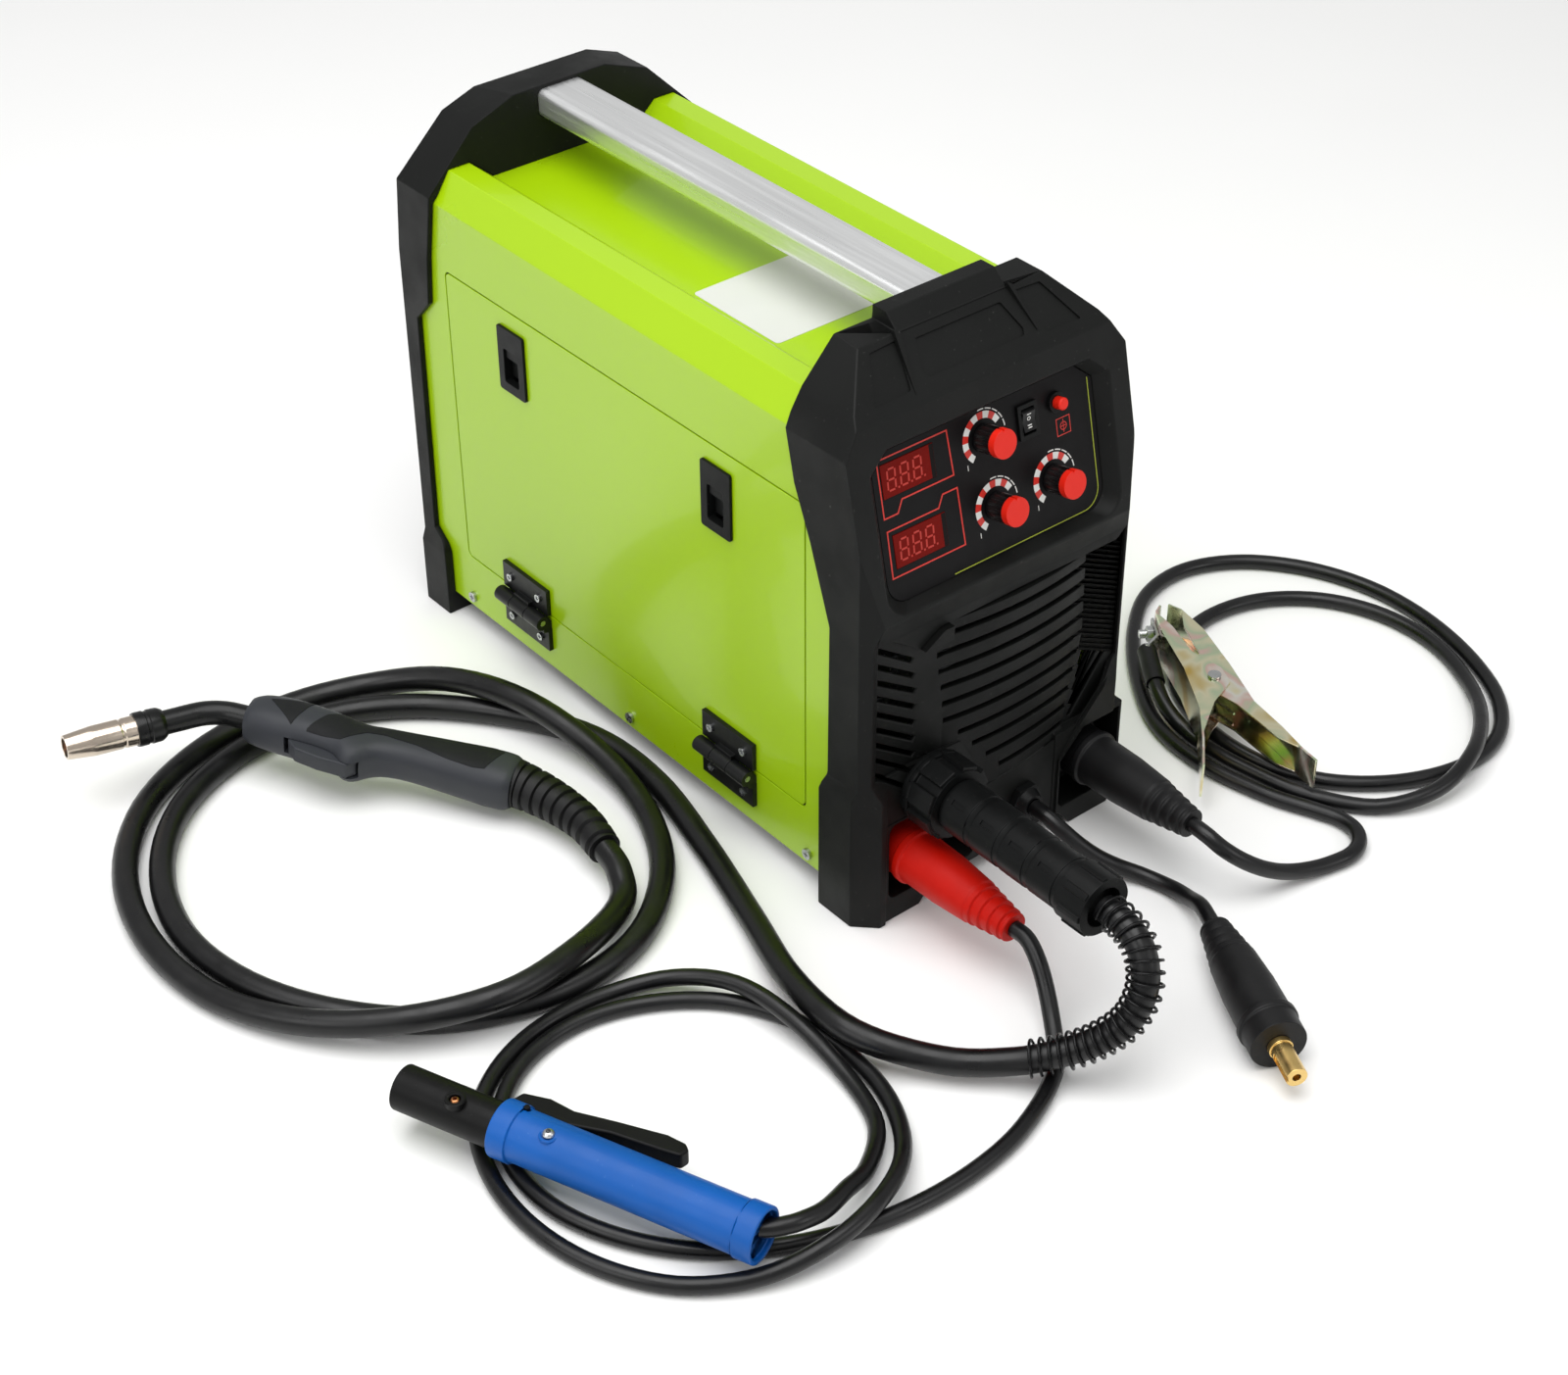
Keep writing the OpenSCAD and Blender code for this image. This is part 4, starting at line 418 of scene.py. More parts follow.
# ---- The shaped parts: mouldings and pressings with their edges broken ----
# Real edges are never sharp: mouldings have a small radius, pressings a rolled one. Each part is
# taken over from the frame, its facets are joined, and every hard edge gets its own radius.
def broken_edges(node, edge, slot, *coats, name, steps=2, look=None):
    source = frame["nodes"][node]
    mesh = source.data.copy()
    mesh.name = name
    shape = bmesh.new()
    shape.from_mesh(mesh)
    bmesh.ops.remove_doubles(shape, verts=shape.verts, dist=5e-7)
    bmesh.ops.dissolve_limit(shape, angle_limit=radians(0.2), verts=shape.verts,
                             edges=shape.edges, use_dissolve_boundaries=False, delimit={"MATERIAL"})
    if edge:
        shape = rounded(shape, edge / 1000, steps)
    shape.to_mesh(mesh)
    shape.free()
    for extra in ("custom_normal", "sharp_edge", "sharp_face"):
        if extra in mesh.attributes:
            mesh.attributes.remove(mesh.attributes[extra])
    for i, c in enumerate(coats):
        if i < len(mesh.materials):
            mesh.materials[i] = c
        else:
            mesh.materials.append(c)
    piece = linked(name, mesh)
    level_faces(piece)
    if look:
        for p in piece.data.polygons:
            p.material_index = look(p.center * 1000, p.normal)
    return part_of(source["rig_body"], piece, slot, node)


def rounded(shape, width, steps):
    # Rounds every hard edge whose neighbours leave room for the radius; the rest stay sharp. A shape
    # that comes out open, or over 6% off in volume, is handed back as it was.
    def roomy(edge):
        if edge.calc_length() < 0.2 * width:
            return False
        for end in edge.verts:
            out = (edge.other_vert(end).co - end.co).normalized()
            for other in end.link_edges:
                if other is edge:
                    continue
                away = other.other_vert(end).co - end.co
                if away.length < 2.2 * width and away.normalized().dot(out) > -0.87:
                    return False
        return True

    corner = radians(28)
    hard = [e for e in shape.edges
            if len(e.link_faces) == 2 and e.calc_face_angle(0) > corner and roomy(e)]
    before, volume = shape.copy(), shape.calc_volume()
    bmesh.ops.bevel(shape, geom=hard, offset=width, offset_type="OFFSET", segments=steps, profile=0.5,
                    affect="EDGES", clamp_overlap=False)
    if any(len(e.link_faces) != 2 for e in shape.edges) or abs(shape.calc_volume() / volume - 1) > 0.06:
        shape.free()
        return before
    before.free()
    return shape


def settle(piece):
    done = as_mesh(piece)
    piece.modifiers.clear()
    piece.data = done


def level_faces(piece, corner=38):
    mesh = piece.data
    mesh.polygons.foreach_set("use_smooth", [True] * len(mesh.polygons))
    mesh.set_sharp_from_angle(angle=radians(corner))
    even = piece.modifiers.new("even", "WEIGHTED_NORMAL")
    even.keep_sharp = True
    even.weight = 60
    settle(piece)


# ---- The torch plug: a moulded body, its union nut and the steel spring behind it ----
# The body is turned nylon with grip slots and eight ribs at its mouth. The spring is hard black wire,
# wound on the hose where it comes out, to stop it kinking.
nylon = coat("black_nylon", "0e0f0f", 0.42, tint=0.12, blotch=40, grain=0.12, grain_size=1500,
             flecks=0.06, shine=0.14)
spring_steel = coat("black_spring_wire", "101011", 0.28, metal=0.6, tint=0.2, blotch=90, grain=0.05,
                    grain_size=1500)
broken_edges("torch_plug", 0.5, "black_plastic", nylon, name="torch_plug_body")
broken_edges("torch_plug_nut", 1.0, "black_plastic", nylon, name="torch_union_nut")
wire_d, curls = 1.9, 24


def wound(line, turns, radius, start, spare):
    # A coil round the line, from start on and ending spare short of its length, all in metres.
    total = length_of(line)
    steps = 20 * turns
    out, i, gone = [], 1, 0.0
    for k in range(steps + 1):
        want = start + (total - spare) * k / steps
        while i < len(line) - 1 and gone + (line[i] - line[i - 1]).length < want:
            gone += (line[i] - line[i - 1]).length
            i += 1
        step = line[i] - line[i - 1]
        at = line[i - 1] + step * min(1, (want - gone) / step.length)
        t = (line[min(len(line) - 1, i + 1)] - line[i - 1]).normalized()
        s = t.cross(Vector((0, 1, 0)) if abs(t.z) > 0.95 else Vector((0, 0, 1))).normalized()
        u = s.cross(t)
        a = 2 * pi * turns * k / steps
        out.append(at + radius * (cos(a) * s + sin(a) * u))
    return out


spring_play = 1.2
hose_end = eased(torch_route[:9], 30)
coil = wound(hose_end, curls, (torch_d / 2 + wire_d / 2 + spring_play) / 1000, 0.004, 0.010)
spring = made_by(jacket, drawn_line("kink_spring", coil), "kink_spring", Radius=wire_d / 2000, Sides=8,
                 Coat=spring_steel)
part_of("machine", spring, "black_steel", "torch_spring")


# ---- The torch: grey handle with soft dark inlays, swan neck and nickel nozzle ----
# The handle is two glass-filled halves, widest at the trigger and slim at the waist. The inlays are a
# softer plastic, sunk into the grey one; the ribbed sleeve behind is rubber and bends with the hose.
grey_shell = coat("grey_handle_shell", "2e3035", 0.48, tint=0.06, blotch=25, grain=0.2, grain_size=1800,
                  shine=0.3)
soft_inlay = coat("dark_soft_inlay", "141517", 0.6, grain=0.3, grain_size=2200, shine=0.2)
sleeve_rubber = coat("sleeve_rubber", "0c0c0d", 0.5, tint=0.12, blotch=40, grain=0.15, grain_size=1200,
                     shine=0.3)
torch_place = (Matrix.Translation((-0.301, 0.135, 0.040)) @ Matrix.Rotation(radians(-54.3), 4, "Z")
               @ Matrix.Rotation(radians(5.6), 4, "Y"))


def between(chain, x):
    for (x0, y0), (x1, y1) in zip(chain, chain[1:]):
        if x <= x1:
            t = max(0, min(1, (x - x0) / (x1 - x0)))
            return y0 + (y1 - y0) * t
    return chain[-1][1]


def soft_chain(chain):
    return [(q.x, q.y) for q in sampled([Vector((x, y, 0)) for x, y in chain], 5)]


# The handle seen from the side (top and low edge) and from above (half its thickness), x from its nose.
handle_top = soft_chain([(-4, 13), (0, 15), (6, 17), (22, 18.5), (45, 16.5), (60, 14), (74, 12.4),
                         (100, 14.2), (132, 16.3), (160, 17.6), (172, 17), (176, 15)])
handle_low = soft_chain([(-4, -13), (0, -14.5), (8, -15.5), (22, -17), (46, -18), (60, -21), (68, -27),
                         (75, -27.5), (83, -20), (92, -15.6), (110, -14.2), (144, -17), (160, -18.6),
                         (172, -18.4), (176, -16)])
handle_thick = soft_chain([(-4, 12.5), (0, 14.4), (8, 15.8), (24, 16.4), (50, 16.2), (75, 14.6),
                           (100, 13.8), (135, 15), (160, 16), (172, 15.6), (176, 14)])
squareness = 2.7


def section_at(x):
    return [between(chain, x) for chain in (handle_top, handle_low, handle_thick)]


def shell_height(x, y, proud=0.0):
    top, low, thick = section_at(x)
    mid, half = (top + low) / 2, (top - low) / 2
    side = min(1, abs(y - mid) / (half + proud))
    return (thick + proud) * (1 - side ** squareness) ** (1 / squareness)


def mesh_piece(name, verts, faces, *coats, place=None):
    mesh = bpy.data.meshes.new(name)
    mesh.from_pydata([tuple(v) for v in verts], [], faces)
    shape = bmesh.new()
    shape.from_mesh(mesh)
    bmesh.ops.remove_doubles(shape, verts=shape.verts, dist=1e-7)
    bmesh.ops.recalc_face_normals(shape, faces=shape.faces)
    shape.to_mesh(mesh)
    shape.free()
    if place is not None:
        mesh.transform(place)
    for c in coats:
        mesh.materials.append(c)
    return linked(name, mesh)


def tube_faces(rings, around, closed=False):
    # A skin over rings of points: a closed one joins its last ring to its first, others get two caps.
    faces = [(i * around + j, i * around + (j + 1) % around, (i + 1) % rings * around + (j + 1) % around,
              (i + 1) % rings * around + j) for i in range(rings if closed else rings - 1)
             for j in range(around)]
    if closed:
        return faces
    return faces + [tuple(range(around)), tuple((rings - 1) * around + j for j in range(around))]


stations = [-4, -3.2, -1.6, 0, 3, 6] + [8 + 2.4 * i for i in range(69)] + [173, 175, 176]
verts = []
for x in stations:
    top, low, thick = section_at(x)
    for j in range(56):
        c, s = cos(2 * pi * j / 56), sin(2 * pi * j / 56)
        y = (top + low) / 2 + (top - low) / 2 * copysign(abs(c) ** (2 / squareness), c)
        verts.append(Vector((x, y, thick * copysign(abs(s) ** (2 / squareness), s))) / 1000)
shell = mesh_piece("torch_handle_shell", verts, tube_faces(len(stations), 56), grey_shell)
six_sides = [(0, 1, 2, 3), (4, 5, 6, 7), (0, 1, 5, 4), (1, 2, 6, 5), (2, 3, 7, 6), (3, 0, 4, 7)]
well_half = 6.3
well = mesh_piece("trigger_well", [Vector((x, y, z)) / 1000 for z in (-well_half, well_half)
                                   for x, y in ((26, -40), (79, -40), (79, -4), (26, -4))], six_sides)
cut = shell.modifiers.new("well", "BOOLEAN")
cut.operation = "DIFFERENCE"
cut.object = well
settle(shell)
bpy.data.objects.remove(well)
shell.data.transform(torch_place)
level_faces(shell, 45)
part_of("machine", shell, "torch_grey", "torch_handle")


def inlay(name, low, top, side):
    # A thin pad that follows the shell, standing 0.35 mm proud of it.
    x0, x1 = low[0][0], low[-1][0]
    across, up = 90, 14
    grid = {}
    verts = []
    for deep in (0, 1):
        for i in range(across + 1):
            x = x0 + (x1 - x0) * i / across
            for j in range(up + 1):
                y = between(low, x) + (between(top, x) - between(low, x)) * j / up
                grid[deep, i, j] = len(verts)
                z = side * (shell_height(x, y) + (-1.2 if deep else 0.35))
                verts.append(Vector((x, y, z)) / 1000)
    faces = []
    for i in range(across):
        for j in range(up):
            for deep in (0, 1):
                faces.append((grid[deep, i, j], grid[deep, i + 1, j], grid[deep, i + 1, j + 1],
                              grid[deep, i, j + 1]))
        for j in (0, up):
            faces.append((grid[0, i, j], grid[0, i + 1, j], grid[1, i + 1, j], grid[1, i, j]))
    for j in range(up):
        for i in (0, across):
            faces.append((grid[0, i, j], grid[0, i, j + 1], grid[1, i, j + 1], grid[1, i, j]))
    pad = mesh_piece(name, verts, faces, soft_inlay, place=torch_place)
    level_faces(pad, 40)
    return part_of("machine", pad, "torch_grey")


grip_low = [(40, -13.6), (52, -14.6), (64, -15), (70, -9), (77, -3), (89, -1), (110, -3), (132, -8.5),
            (150, -11), (158, -10.5), (165, 8)]
grip_top = [(40, -12.4), (48, 3), (56, 9), (63, 11), (76, 9.4), (105, 11.2), (136, 13), (158, 13), (165, 9)]
tag_low = [(9, 5), (29, -12), (35.6, 11.6)]
tag_top = [(9, 5.6), (35.6, 12.4)]
pads = [inlay(pad + half, low, top, side)
        for pad, low, top in (("grip_inlay_", grip_low, grip_top), ("front_tag_", tag_low, tag_top))
        for half, side in (("upper", 1), ("lower", -1))]

# The gas test button: a long dome on the handle's upper edge.
verts = []
for i in range(13):
    a = pi * i / 12
    for j in range(24):
        b = 2 * pi * j / 24
        verts.append(Vector((33 - 12 * cos(a),
                             17.0 + 2.6 * sin(a) * max(0, cos(b)) ** 0.6
                             - 1.5 * sin(a) * max(0, -cos(b)),
                             3 + 5.2 * sin(a) ** 0.6 * sin(b))) / 1000)
button = mesh_piece("gas_test_button", verts, tube_faces(13, 24), soft_inlay, place=torch_place)
level_faces(button, 60)
part_of("machine", button, "torch_grey")
broken_edges("torch_trigger", 1.3, "torch_grey", grey_shell, steps=3, name="torch_trigger_blade")
neck_black = coat("neck_insulation", "0b0c0c", 0.3, tint=0.1, blotch=40, grain=0.05, shine=0.3)
broken_edges("torch_neck", 0.3, "black_plastic", neck_black, name="swan_neck")
nickel = coat("nickel_plate", "d2c4b4", 0.2, metal=1.0, tint=0.05, blotch=60, grain=0.05, grain_size=1500,
              uneven=0.05)
tip_copper = coat("contact_tip_copper", "c07a4c", 0.3, metal=1.0, tint=0.1, blotch=80)
nozzle_place = (torch_place @ Matrix.Translation((-0.014, -0.036, 0))
                @ Matrix.Rotation(radians(44), 4, "Z") @ Matrix.Translation((-0.0202, 0.036, 0)))
into_nozzle = nozzle_place.inverted()


def tip_look(at, _):
    # The contact tip is the thin rod inside the nozzle.
    near = into_nozzle @ (at / 1000) * 1000
    return int(-60.5 < near.x < -30.1 and hypot(near.y, near.z) < 3.2)


broken_edges("torch_nozzle", 0.25, "nickel", nickel, tip_copper, name="gas_nozzle", look=tip_look)


def turned(name, profile, around, place, finish):
    # A turned ring: the profile's x and radius spun round the x axis.
    ring = [(cos(2 * pi * j / around), sin(2 * pi * j / around)) for j in range(around)]
    verts = [Vector((x, r * c, r * s)) / 1000 for x, r in profile for c, s in ring]
    piece = mesh_piece(name, verts, tube_faces(len(profile), around, closed=True), finish, place=place)
    level_faces(piece, 35)
    return piece


collar = turned("nozzle_collar", [(0.5, 8.3), (-18.5, 8.3), (-18.5, 10.9), (-17.6, 11.3), (-12, 11.3),
                                  (-11.4, 10.7), (-9.6, 10.7), (-9, 11.3), (-3, 11.1), (-1, 10.2),
                                  (0.5, 9.2)], 40, nozzle_place, neck_black)
part_of(frame["nodes"]["torch_nozzle"]["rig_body"], collar, "black_plastic")

# The ribbed sleeve: it leaves the handle straight, then follows the lead, with a groove per 20 rings.
boot_line = eased([[-198.4, -7.6, 22.9], [-192, -25, 21], [-188, -45, 20], [-187, -66, 19.2],
                   torch_route[-1]], 45)
handle_way = torch_place.to_3x3() @ Vector((1, 0, 0))
verts, count = [], len(boot_line)
for i, at in enumerate(boot_line):
    t = (boot_line[min(count - 1, i + 1)] - boot_line[max(0, i - 1)]).normalized()
    t = handle_way.lerp(t, min(1, i / 22)).normalized()
    s = t.cross(Vector((0, 0, 1))).normalized()
    u = s.cross(t)
    beat = (i % 20) / 20
    groove = 2.0 if 0.42 < beat < 0.72 else (1.0 if 0.36 < beat < 0.78 else 0)
    if i < 12 or i > count - 4:
        groove = 0
    r = (15.6 - 5 * i / count - groove) / 1000
    for j in range(40):
        a = 2 * pi * j / 40
        verts.append(at + r * (cos(a) * s + sin(a) * u))
boot = mesh_piece("ribbed_sleeve", verts, tube_faces(count, 40), sleeve_rubber)
level_faces(boot, 50)
part_of("machine", boot, "black_rubber", "torch_boot")
torch_lead, torch_line = leads["torch_cable"]
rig.cord(torch_lead, exit=torch_line[0], length=length_of(torch_line), diameter=torch_d / 1000,
        far_end="tool", stiffness="stiff", lay="loose", path=torch_line,
        with_pieces=[spring, boot, shell, button, collar, "torch_trigger_blade", "swan_neck",
                     "gas_nozzle"] + pads)


# ---- The electrode holder: blue grip, black jaws and the lever that opens them ----
# The grip is a thick tube of blue fibre-filled plastic, slid over the brass body. The jaws and the
# lever are black phenolic, and the screws are countersunk steel.
blue_grip = coat("blue_grip", "0051a0", 0.42, tint=0.10, blotch=22, grain=0.18, grain_size=700, shine=0.3,
                 flecks=0.10, fleck_shade="7fa6d6")
phenolic = coat("black_phenolic", "0d0d0d", 0.42, tint=0.12, blotch=35, grain=0.1, grain_size=1100,
                flecks=0.06, shine=0.15)
screw_steel = coat("bright_screw_steel", "b9bbbd", 0.28, metal=1.0, blotch=90, grain=0.05)
copper_screw = coat("copper_screw", "b0764f", 0.32, metal=1.0, tint=0.1, blotch=90, grain=0.05)
red_sleeve = coat("red_plug_rubber", "c01204", 0.5, tint=0.06, grain=0.2, flecks=0.04, shine=0.2,
                  fleck_shade="e07060")
screw_x, screw_y = -0.3965, -0.2328
head_screw_at = Vector((screw_x, screw_y, 0.0395)) * 1000
broken_edges("holder_grip", 0.9, "blue_plastic", blue_grip, steps=3, name="blue_holder_grip")
broken_edges("holder_jaws", 0.5, "black_plastic", phenolic, copper_screw, name="holder_head",
             look=lambda at, _: int((at - head_screw_at).length < 3.4))
broken_edges("holder_lever", 1.6, "black_plastic", phenolic, steps=3, name="holder_lever_arm")
broken_edges("holder_plug", 0.5, "red_rubber", red_sleeve, name="red_lead_plug")
holder_place = (Matrix.Translation((-0.4056, -0.1934, 0.0278))
                @ Matrix.Rotation(radians(-68.4), 4, "Z"))


# Pan-head screws: a low dome with a cross cut in it, set by rule at each place in a list.
def screw_rule():
    tree, start, end = new_rule("screws_at_points", "Screws", Places="Geometry", Head="Object", Size="Float",
                                Coat="Material")
    new = tree.nodes.new
    head, facing = new("GeometryNodeObjectInfo"), new("GeometryNodeInputNamedAttribute")
    facing.data_type = "FLOAT_VECTOR"
    facing.inputs["Name"].default_value = "facing"
    turn = new("FunctionNodeAlignRotationToVector")
    turn.axis = "Z"
    points, put = new("GeometryNodeMeshToPoints"), new("GeometryNodeInstanceOnPoints")
    real, dye = new("GeometryNodeRealizeInstances"), new("GeometryNodeSetMaterial")
    return wired(tree, (start, "Places", points, "Mesh"), (points, "Points", put, "Points"),
                 (start, "Head", head, "Object"), (head, "Geometry", put, "Instance"),
                 (facing, "Attribute", turn, "Vector"), (turn, "Rotation", put, "Rotation"),
                 (start, "Size", put, "Scale"), (put, "Instances", real, "Geometry"),
                 (real, "Geometry", dye, "Geometry"), (start, "Coat", dye, "Material"),
                 (dye, "Geometry", end, "Screws"))


def pan_head():
    rings = [(0.0, 0.50), (0.10, 0.50), (0.22, 0.46), (0.32, 0.36), (0.37, 0.24)]
    verts = [Vector((r * cos(pi * j / 12), r * sin(pi * j / 12), z))
             for z, r in rings for j in range(24)]
    rim = 24 * (len(rings) - 1)
    faces = tube_faces(5, 24)[:-1]
    # the cross: its floor sunk under the crown
    crown = len(verts)
    arm, thin = 0.22, 0.05
    cross = [(arm, -thin), (arm, thin), (thin, thin), (thin, arm), (-thin, arm), (-thin, thin), (-arm, thin),
             (-arm, -thin), (-thin, -thin), (-thin, -arm), (thin, -arm), (thin, -thin)]
    verts += [Vector((x, y, 0.372)) for x, y in cross] + [Vector((x, y, 0.2)) for x, y in cross]
    faces += [(crown + j, crown + (j + 1) % 12, crown + 12 + (j + 1) % 12, crown + 12 + j) for j in range(12)]
    faces.append(tuple(crown + 12 + j for j in range(12)))
    for j in range(24):
        near = [min(range(12), key=lambda k: (Vector(cross[k]) - Vector(verts[rim + q % 24][:2])).length)
                for q in (j, j + 1)]
        faces.append((rim + j, rim + (j + 1) % 24, crown + near[1], crown + near[0])
                     if near[0] != near[1] else (rim + j, rim + (j + 1) % 24, crown + near[0]))
    return mesh_piece("pan_head", verts, faces)


screws = screw_rule()
head_shape = pan_head()


def screws_at(name, places, size, finish):
    mesh = bpy.data.meshes.new(name)
    mesh.from_pydata([p for p, _ in places], [], [])
    facing = mesh.attributes.new("facing", "FLOAT_VECTOR", "POINT")
    for item, (_, f) in zip(facing.data, places):
        item.vector = f
    piece = made_by(screws, linked(name, mesh), name, Head=head_shape, Size=size / 1000, Coat=finish)
    return part_of("machine", piece, "bright_steel")


up = Vector((0, 0, 1))
upright = Matrix.Rotation(radians(-90), 4, "Y")
grip_boss = turned("grip_screw_boss", [(-1.4, 4.0), (0.35, 4.0), (0.75, 4.4), (0.75, 5.1), (0.3, 5.6),
                                       (-1.4, 5.6)], 36,
                   holder_place @ Matrix.Translation((0.099, -0.004, 0.0142)) @ upright, blue_grip)
part_of("machine", grip_boss, "blue_plastic")
head_boss = turned("head_screw_boss", [(-2.5, 3.3), (1.0, 3.3), (1.4, 3.8), (1.4, 5.3), (0.9, 6.0),
                                       (-2.5, 6.0)], 36,
                   Matrix.Translation((screw_x, screw_y, 0.042)) @ upright, phenolic)
part_of("machine", head_boss, "black_plastic")
head_screw = screws_at("head_screw", [(Vector((screw_x, screw_y, 0.0409)), up)], 5.8, copper_screw)
grip_screw = screws_at("grip_screw", [(holder_place @ Vector((0.099, -0.004, 0.0148)), up)], 7.0, screw_steel)
holder_lead, holder_line = leads["holder_cable"]
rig.cord(holder_lead, exit=holder_line[0], length=length_of(holder_line), diameter=lead_d / 1000,
        far_end="tool", stiffness="medium", lay="loose", path=holder_line,
        with_pieces=["blue_holder_grip", "holder_head", "holder_lever_arm", grip_screw, grip_boss,
                     head_screw, head_boss])


# ---- The ground clamp: two stamped jaws, plated yellow, on one rivet ----
# The plating is zinc with a yellow passivate, so its colour drifts through gold, green and rose.
# A wound spring closes the jaws, and the lead is bolted to the upper one by a crimped lug.
def passivate():
    mat = coat("yellow_zinc_plate", "c9b878", 0.15, metal=1.0, tint=0.05, grain=0.06)
    tree = mat.node_tree
    node, link = tree.nodes.new, tree.links.new
    place = node("ShaderNodeTexCoord")
    drift = node("ShaderNodeTexNoise")
    drift.inputs["Scale"].default_value = 26
    drift.inputs["Detail"].default_value = 2
    drift.inputs["Distortion"].default_value = 0.6
    link(place.outputs["Object"], drift.inputs["Vector"])
    film = node("ShaderNodeValToRGB")
    first, last = film.color_ramp.elements
    first.position, first.color = 0.30, paint("d8bb6a")
    last.position, last.color = 0.72, paint("efe3ae")
    for spot, shade in ((0.42, "f2ecc8"), (0.50, "cfdfbb"), (0.56, "f0cfc2"), (0.63, "f8f6ea")):
        film.color_ramp.elements.new(spot).color = paint(shade)
    link(drift.outputs["Fac"], film.inputs["Fac"])
    link(film.outputs["Color"], tree.nodes["Principled BSDF"].inputs["Base Color"])
    return mat


zinc = passivate()
bolt_steel = coat("clamp_bolt_steel", "c3c5c4", 0.26, metal=1.0, tint=0.1, blotch=80)
brass = coat("brass", "e3c27c", 0.3, metal=1.0, blotch=60, grain=0.06)
broken_edges("clamp_jaw_upper", 0.35, "yellow_zinc", zinc, name="upper_jaw")
broken_edges("clamp_jaw_lower", 0.35, "yellow_zinc", zinc, name="lower_jaw")
lead_sleeve_at, sleeve_reach = Vector(ground_route[-1]), 25
broken_edges("clamp_fasteners", 0.3, "bright_steel", bolt_steel, sleeve_rubber, name="clamp_bolts",
             look=lambda at, _: int((at - lead_sleeve_at).length < sleeve_reach))
broken_edges("clamp_spring", 0, "bright_steel", bolt_steel, name="jaw_spring")
broken_edges("black_lead_plugs", 0.5, "black_rubber", sleeve_rubber, name="black_plug_sleeves")
broken_edges("plug_pins", 0.4, "brass", brass, name="brass_pins")
ground_lead, ground_line = leads["ground_cable"]
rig.cord(ground_lead, exit=ground_line[0], length=length_of(ground_line), diameter=lead_d / 1000,
        far_end="tool", stiffness="medium", lay="loose", path=ground_line,
        with_pieces=["upper_jaw", "lower_jaw", "clamp_bolts", "jaw_spring"])
link_lead, link_line = leads["link_cable"]
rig.cord(link_lead, exit=link_line[0], length=length_of(link_line), diameter=lead_d / 1000,
        far_end="plug", stiffness="medium", lay="loose", path=link_line,
        with_pieces=["black_plug_sleeves", "brass_pins"])


# ---- The steel case: a folded lime cover, its door and the black base pan ----
# Sheet steel under a thick gloss powder coat, faintly rippled like orange peel. The door shuts flush
# in its opening, on two hinges along its foot.
lime = coat("lime_gloss_paint", "9dc304", 0.30, tint=0.02, blotch=5, grain=0.03, grain_size=700, gloss=0.22,
            gloss_rough=0.05, uneven=0.03, bend=0.03)
pan_black = coat("black_powder_coat", "151617", 0.5, grain=0.25, grain_size=1300, shine=0.3)
broken_edges("case_cover", 0.45, "green_paint", lime, name="folded_cover")
broken_edges("side_door", 0.4, "green_paint", lime, name="door_panel")
broken_edges("base_pan", 0.4, "case_steel", pan_black, name="base_tray")


# ---- The slope of the control panel, and flat layers laid on it ----
# The panel leans back 12.9 degrees; its printed ink and its marks are thin prisms on that plane.
slope = Matrix.Translation((0, -0.216, 0.324)) @ Matrix.Rotation(radians(90 - 12.9), 4, "X")
face_level = -8.0


def printed(name, outlines, finish, body="machine", level=face_level, place=slope, thick=0.12,
            slot="panel_face"):
    verts, faces = [], []
    for outline in outlines:
        n, first = len(outline), len(verts)
        for z in (level - 0.05, level + thick):
            verts += [Vector((x, y, z)) / 1000 for x, y in outline]
        faces += [tuple(first + n + j for j in range(n)), tuple(first + n - 1 - j for j in range(n))]
        faces += [(first + j, first + (j + 1) % n, first + n + (j + 1) % n, first + n + j) for j in range(n)]
    return part_of(body, mesh_piece(name, verts, faces, finish, place=place), slot)


# ---- The two end mouldings: charcoal plastic, with a fine spark texture ----
# The front one carries the panel, the grille and the sockets, the rear one the fan and the mains
# gland. Both have deep bevels, pale scuffs and a little dust.
charcoal = coat("charcoal_moulding", "0f100f", 0.5, tint=0.10, blotch=14, grain=0.28, grain_size=2300,
                uneven=0.09, flecks=0.10, shine=0.17)
broken_edges("front_bezel", 0.9, "black_plastic", charcoal, name="front_moulding")
broken_edges("rear_cover", 0.9, "black_plastic", charcoal, name="rear_moulding")

# The two wedge ribs beside the badge plate, on its plane, which lies 43.3 degrees up from level.
badge = Matrix.Translation((0, -0.213, 0.3374)) @ Matrix.Rotation(radians(43.3), 4, "X")
for name, foot in (("badge_rib_left", [(-44.5, 43), (-40.5, 43), (-48.6, 6), (-49.4, 6)]),
                   ("badge_rib_right", [(40.5, 43), (43.5, 41), (46.4, 12), (45.8, 12)])):
    deep = [Vector((x, y, -0.6)) / 1000 for x, y in foot]
    crest = [Vector((x, y, 0.2 + 3.0 * (y - 6) / 37)) / 1000 for x, y in foot]
    part_of("machine", mesh_piece(name, deep + crest, six_sides, charcoal, place=badge), "black_plastic")
corner_of_grille = [(-64.5, 191.2), (-50, 199.8), (-42.5, 199.8), (-42.5, 190.6), (-50, 190.6)]
printed("grille_corner", [corner_of_grille], charcoal, level=231, thick=8.4, slot="black_plastic",
        place=Matrix.Rotation(radians(90), 4, "X"))


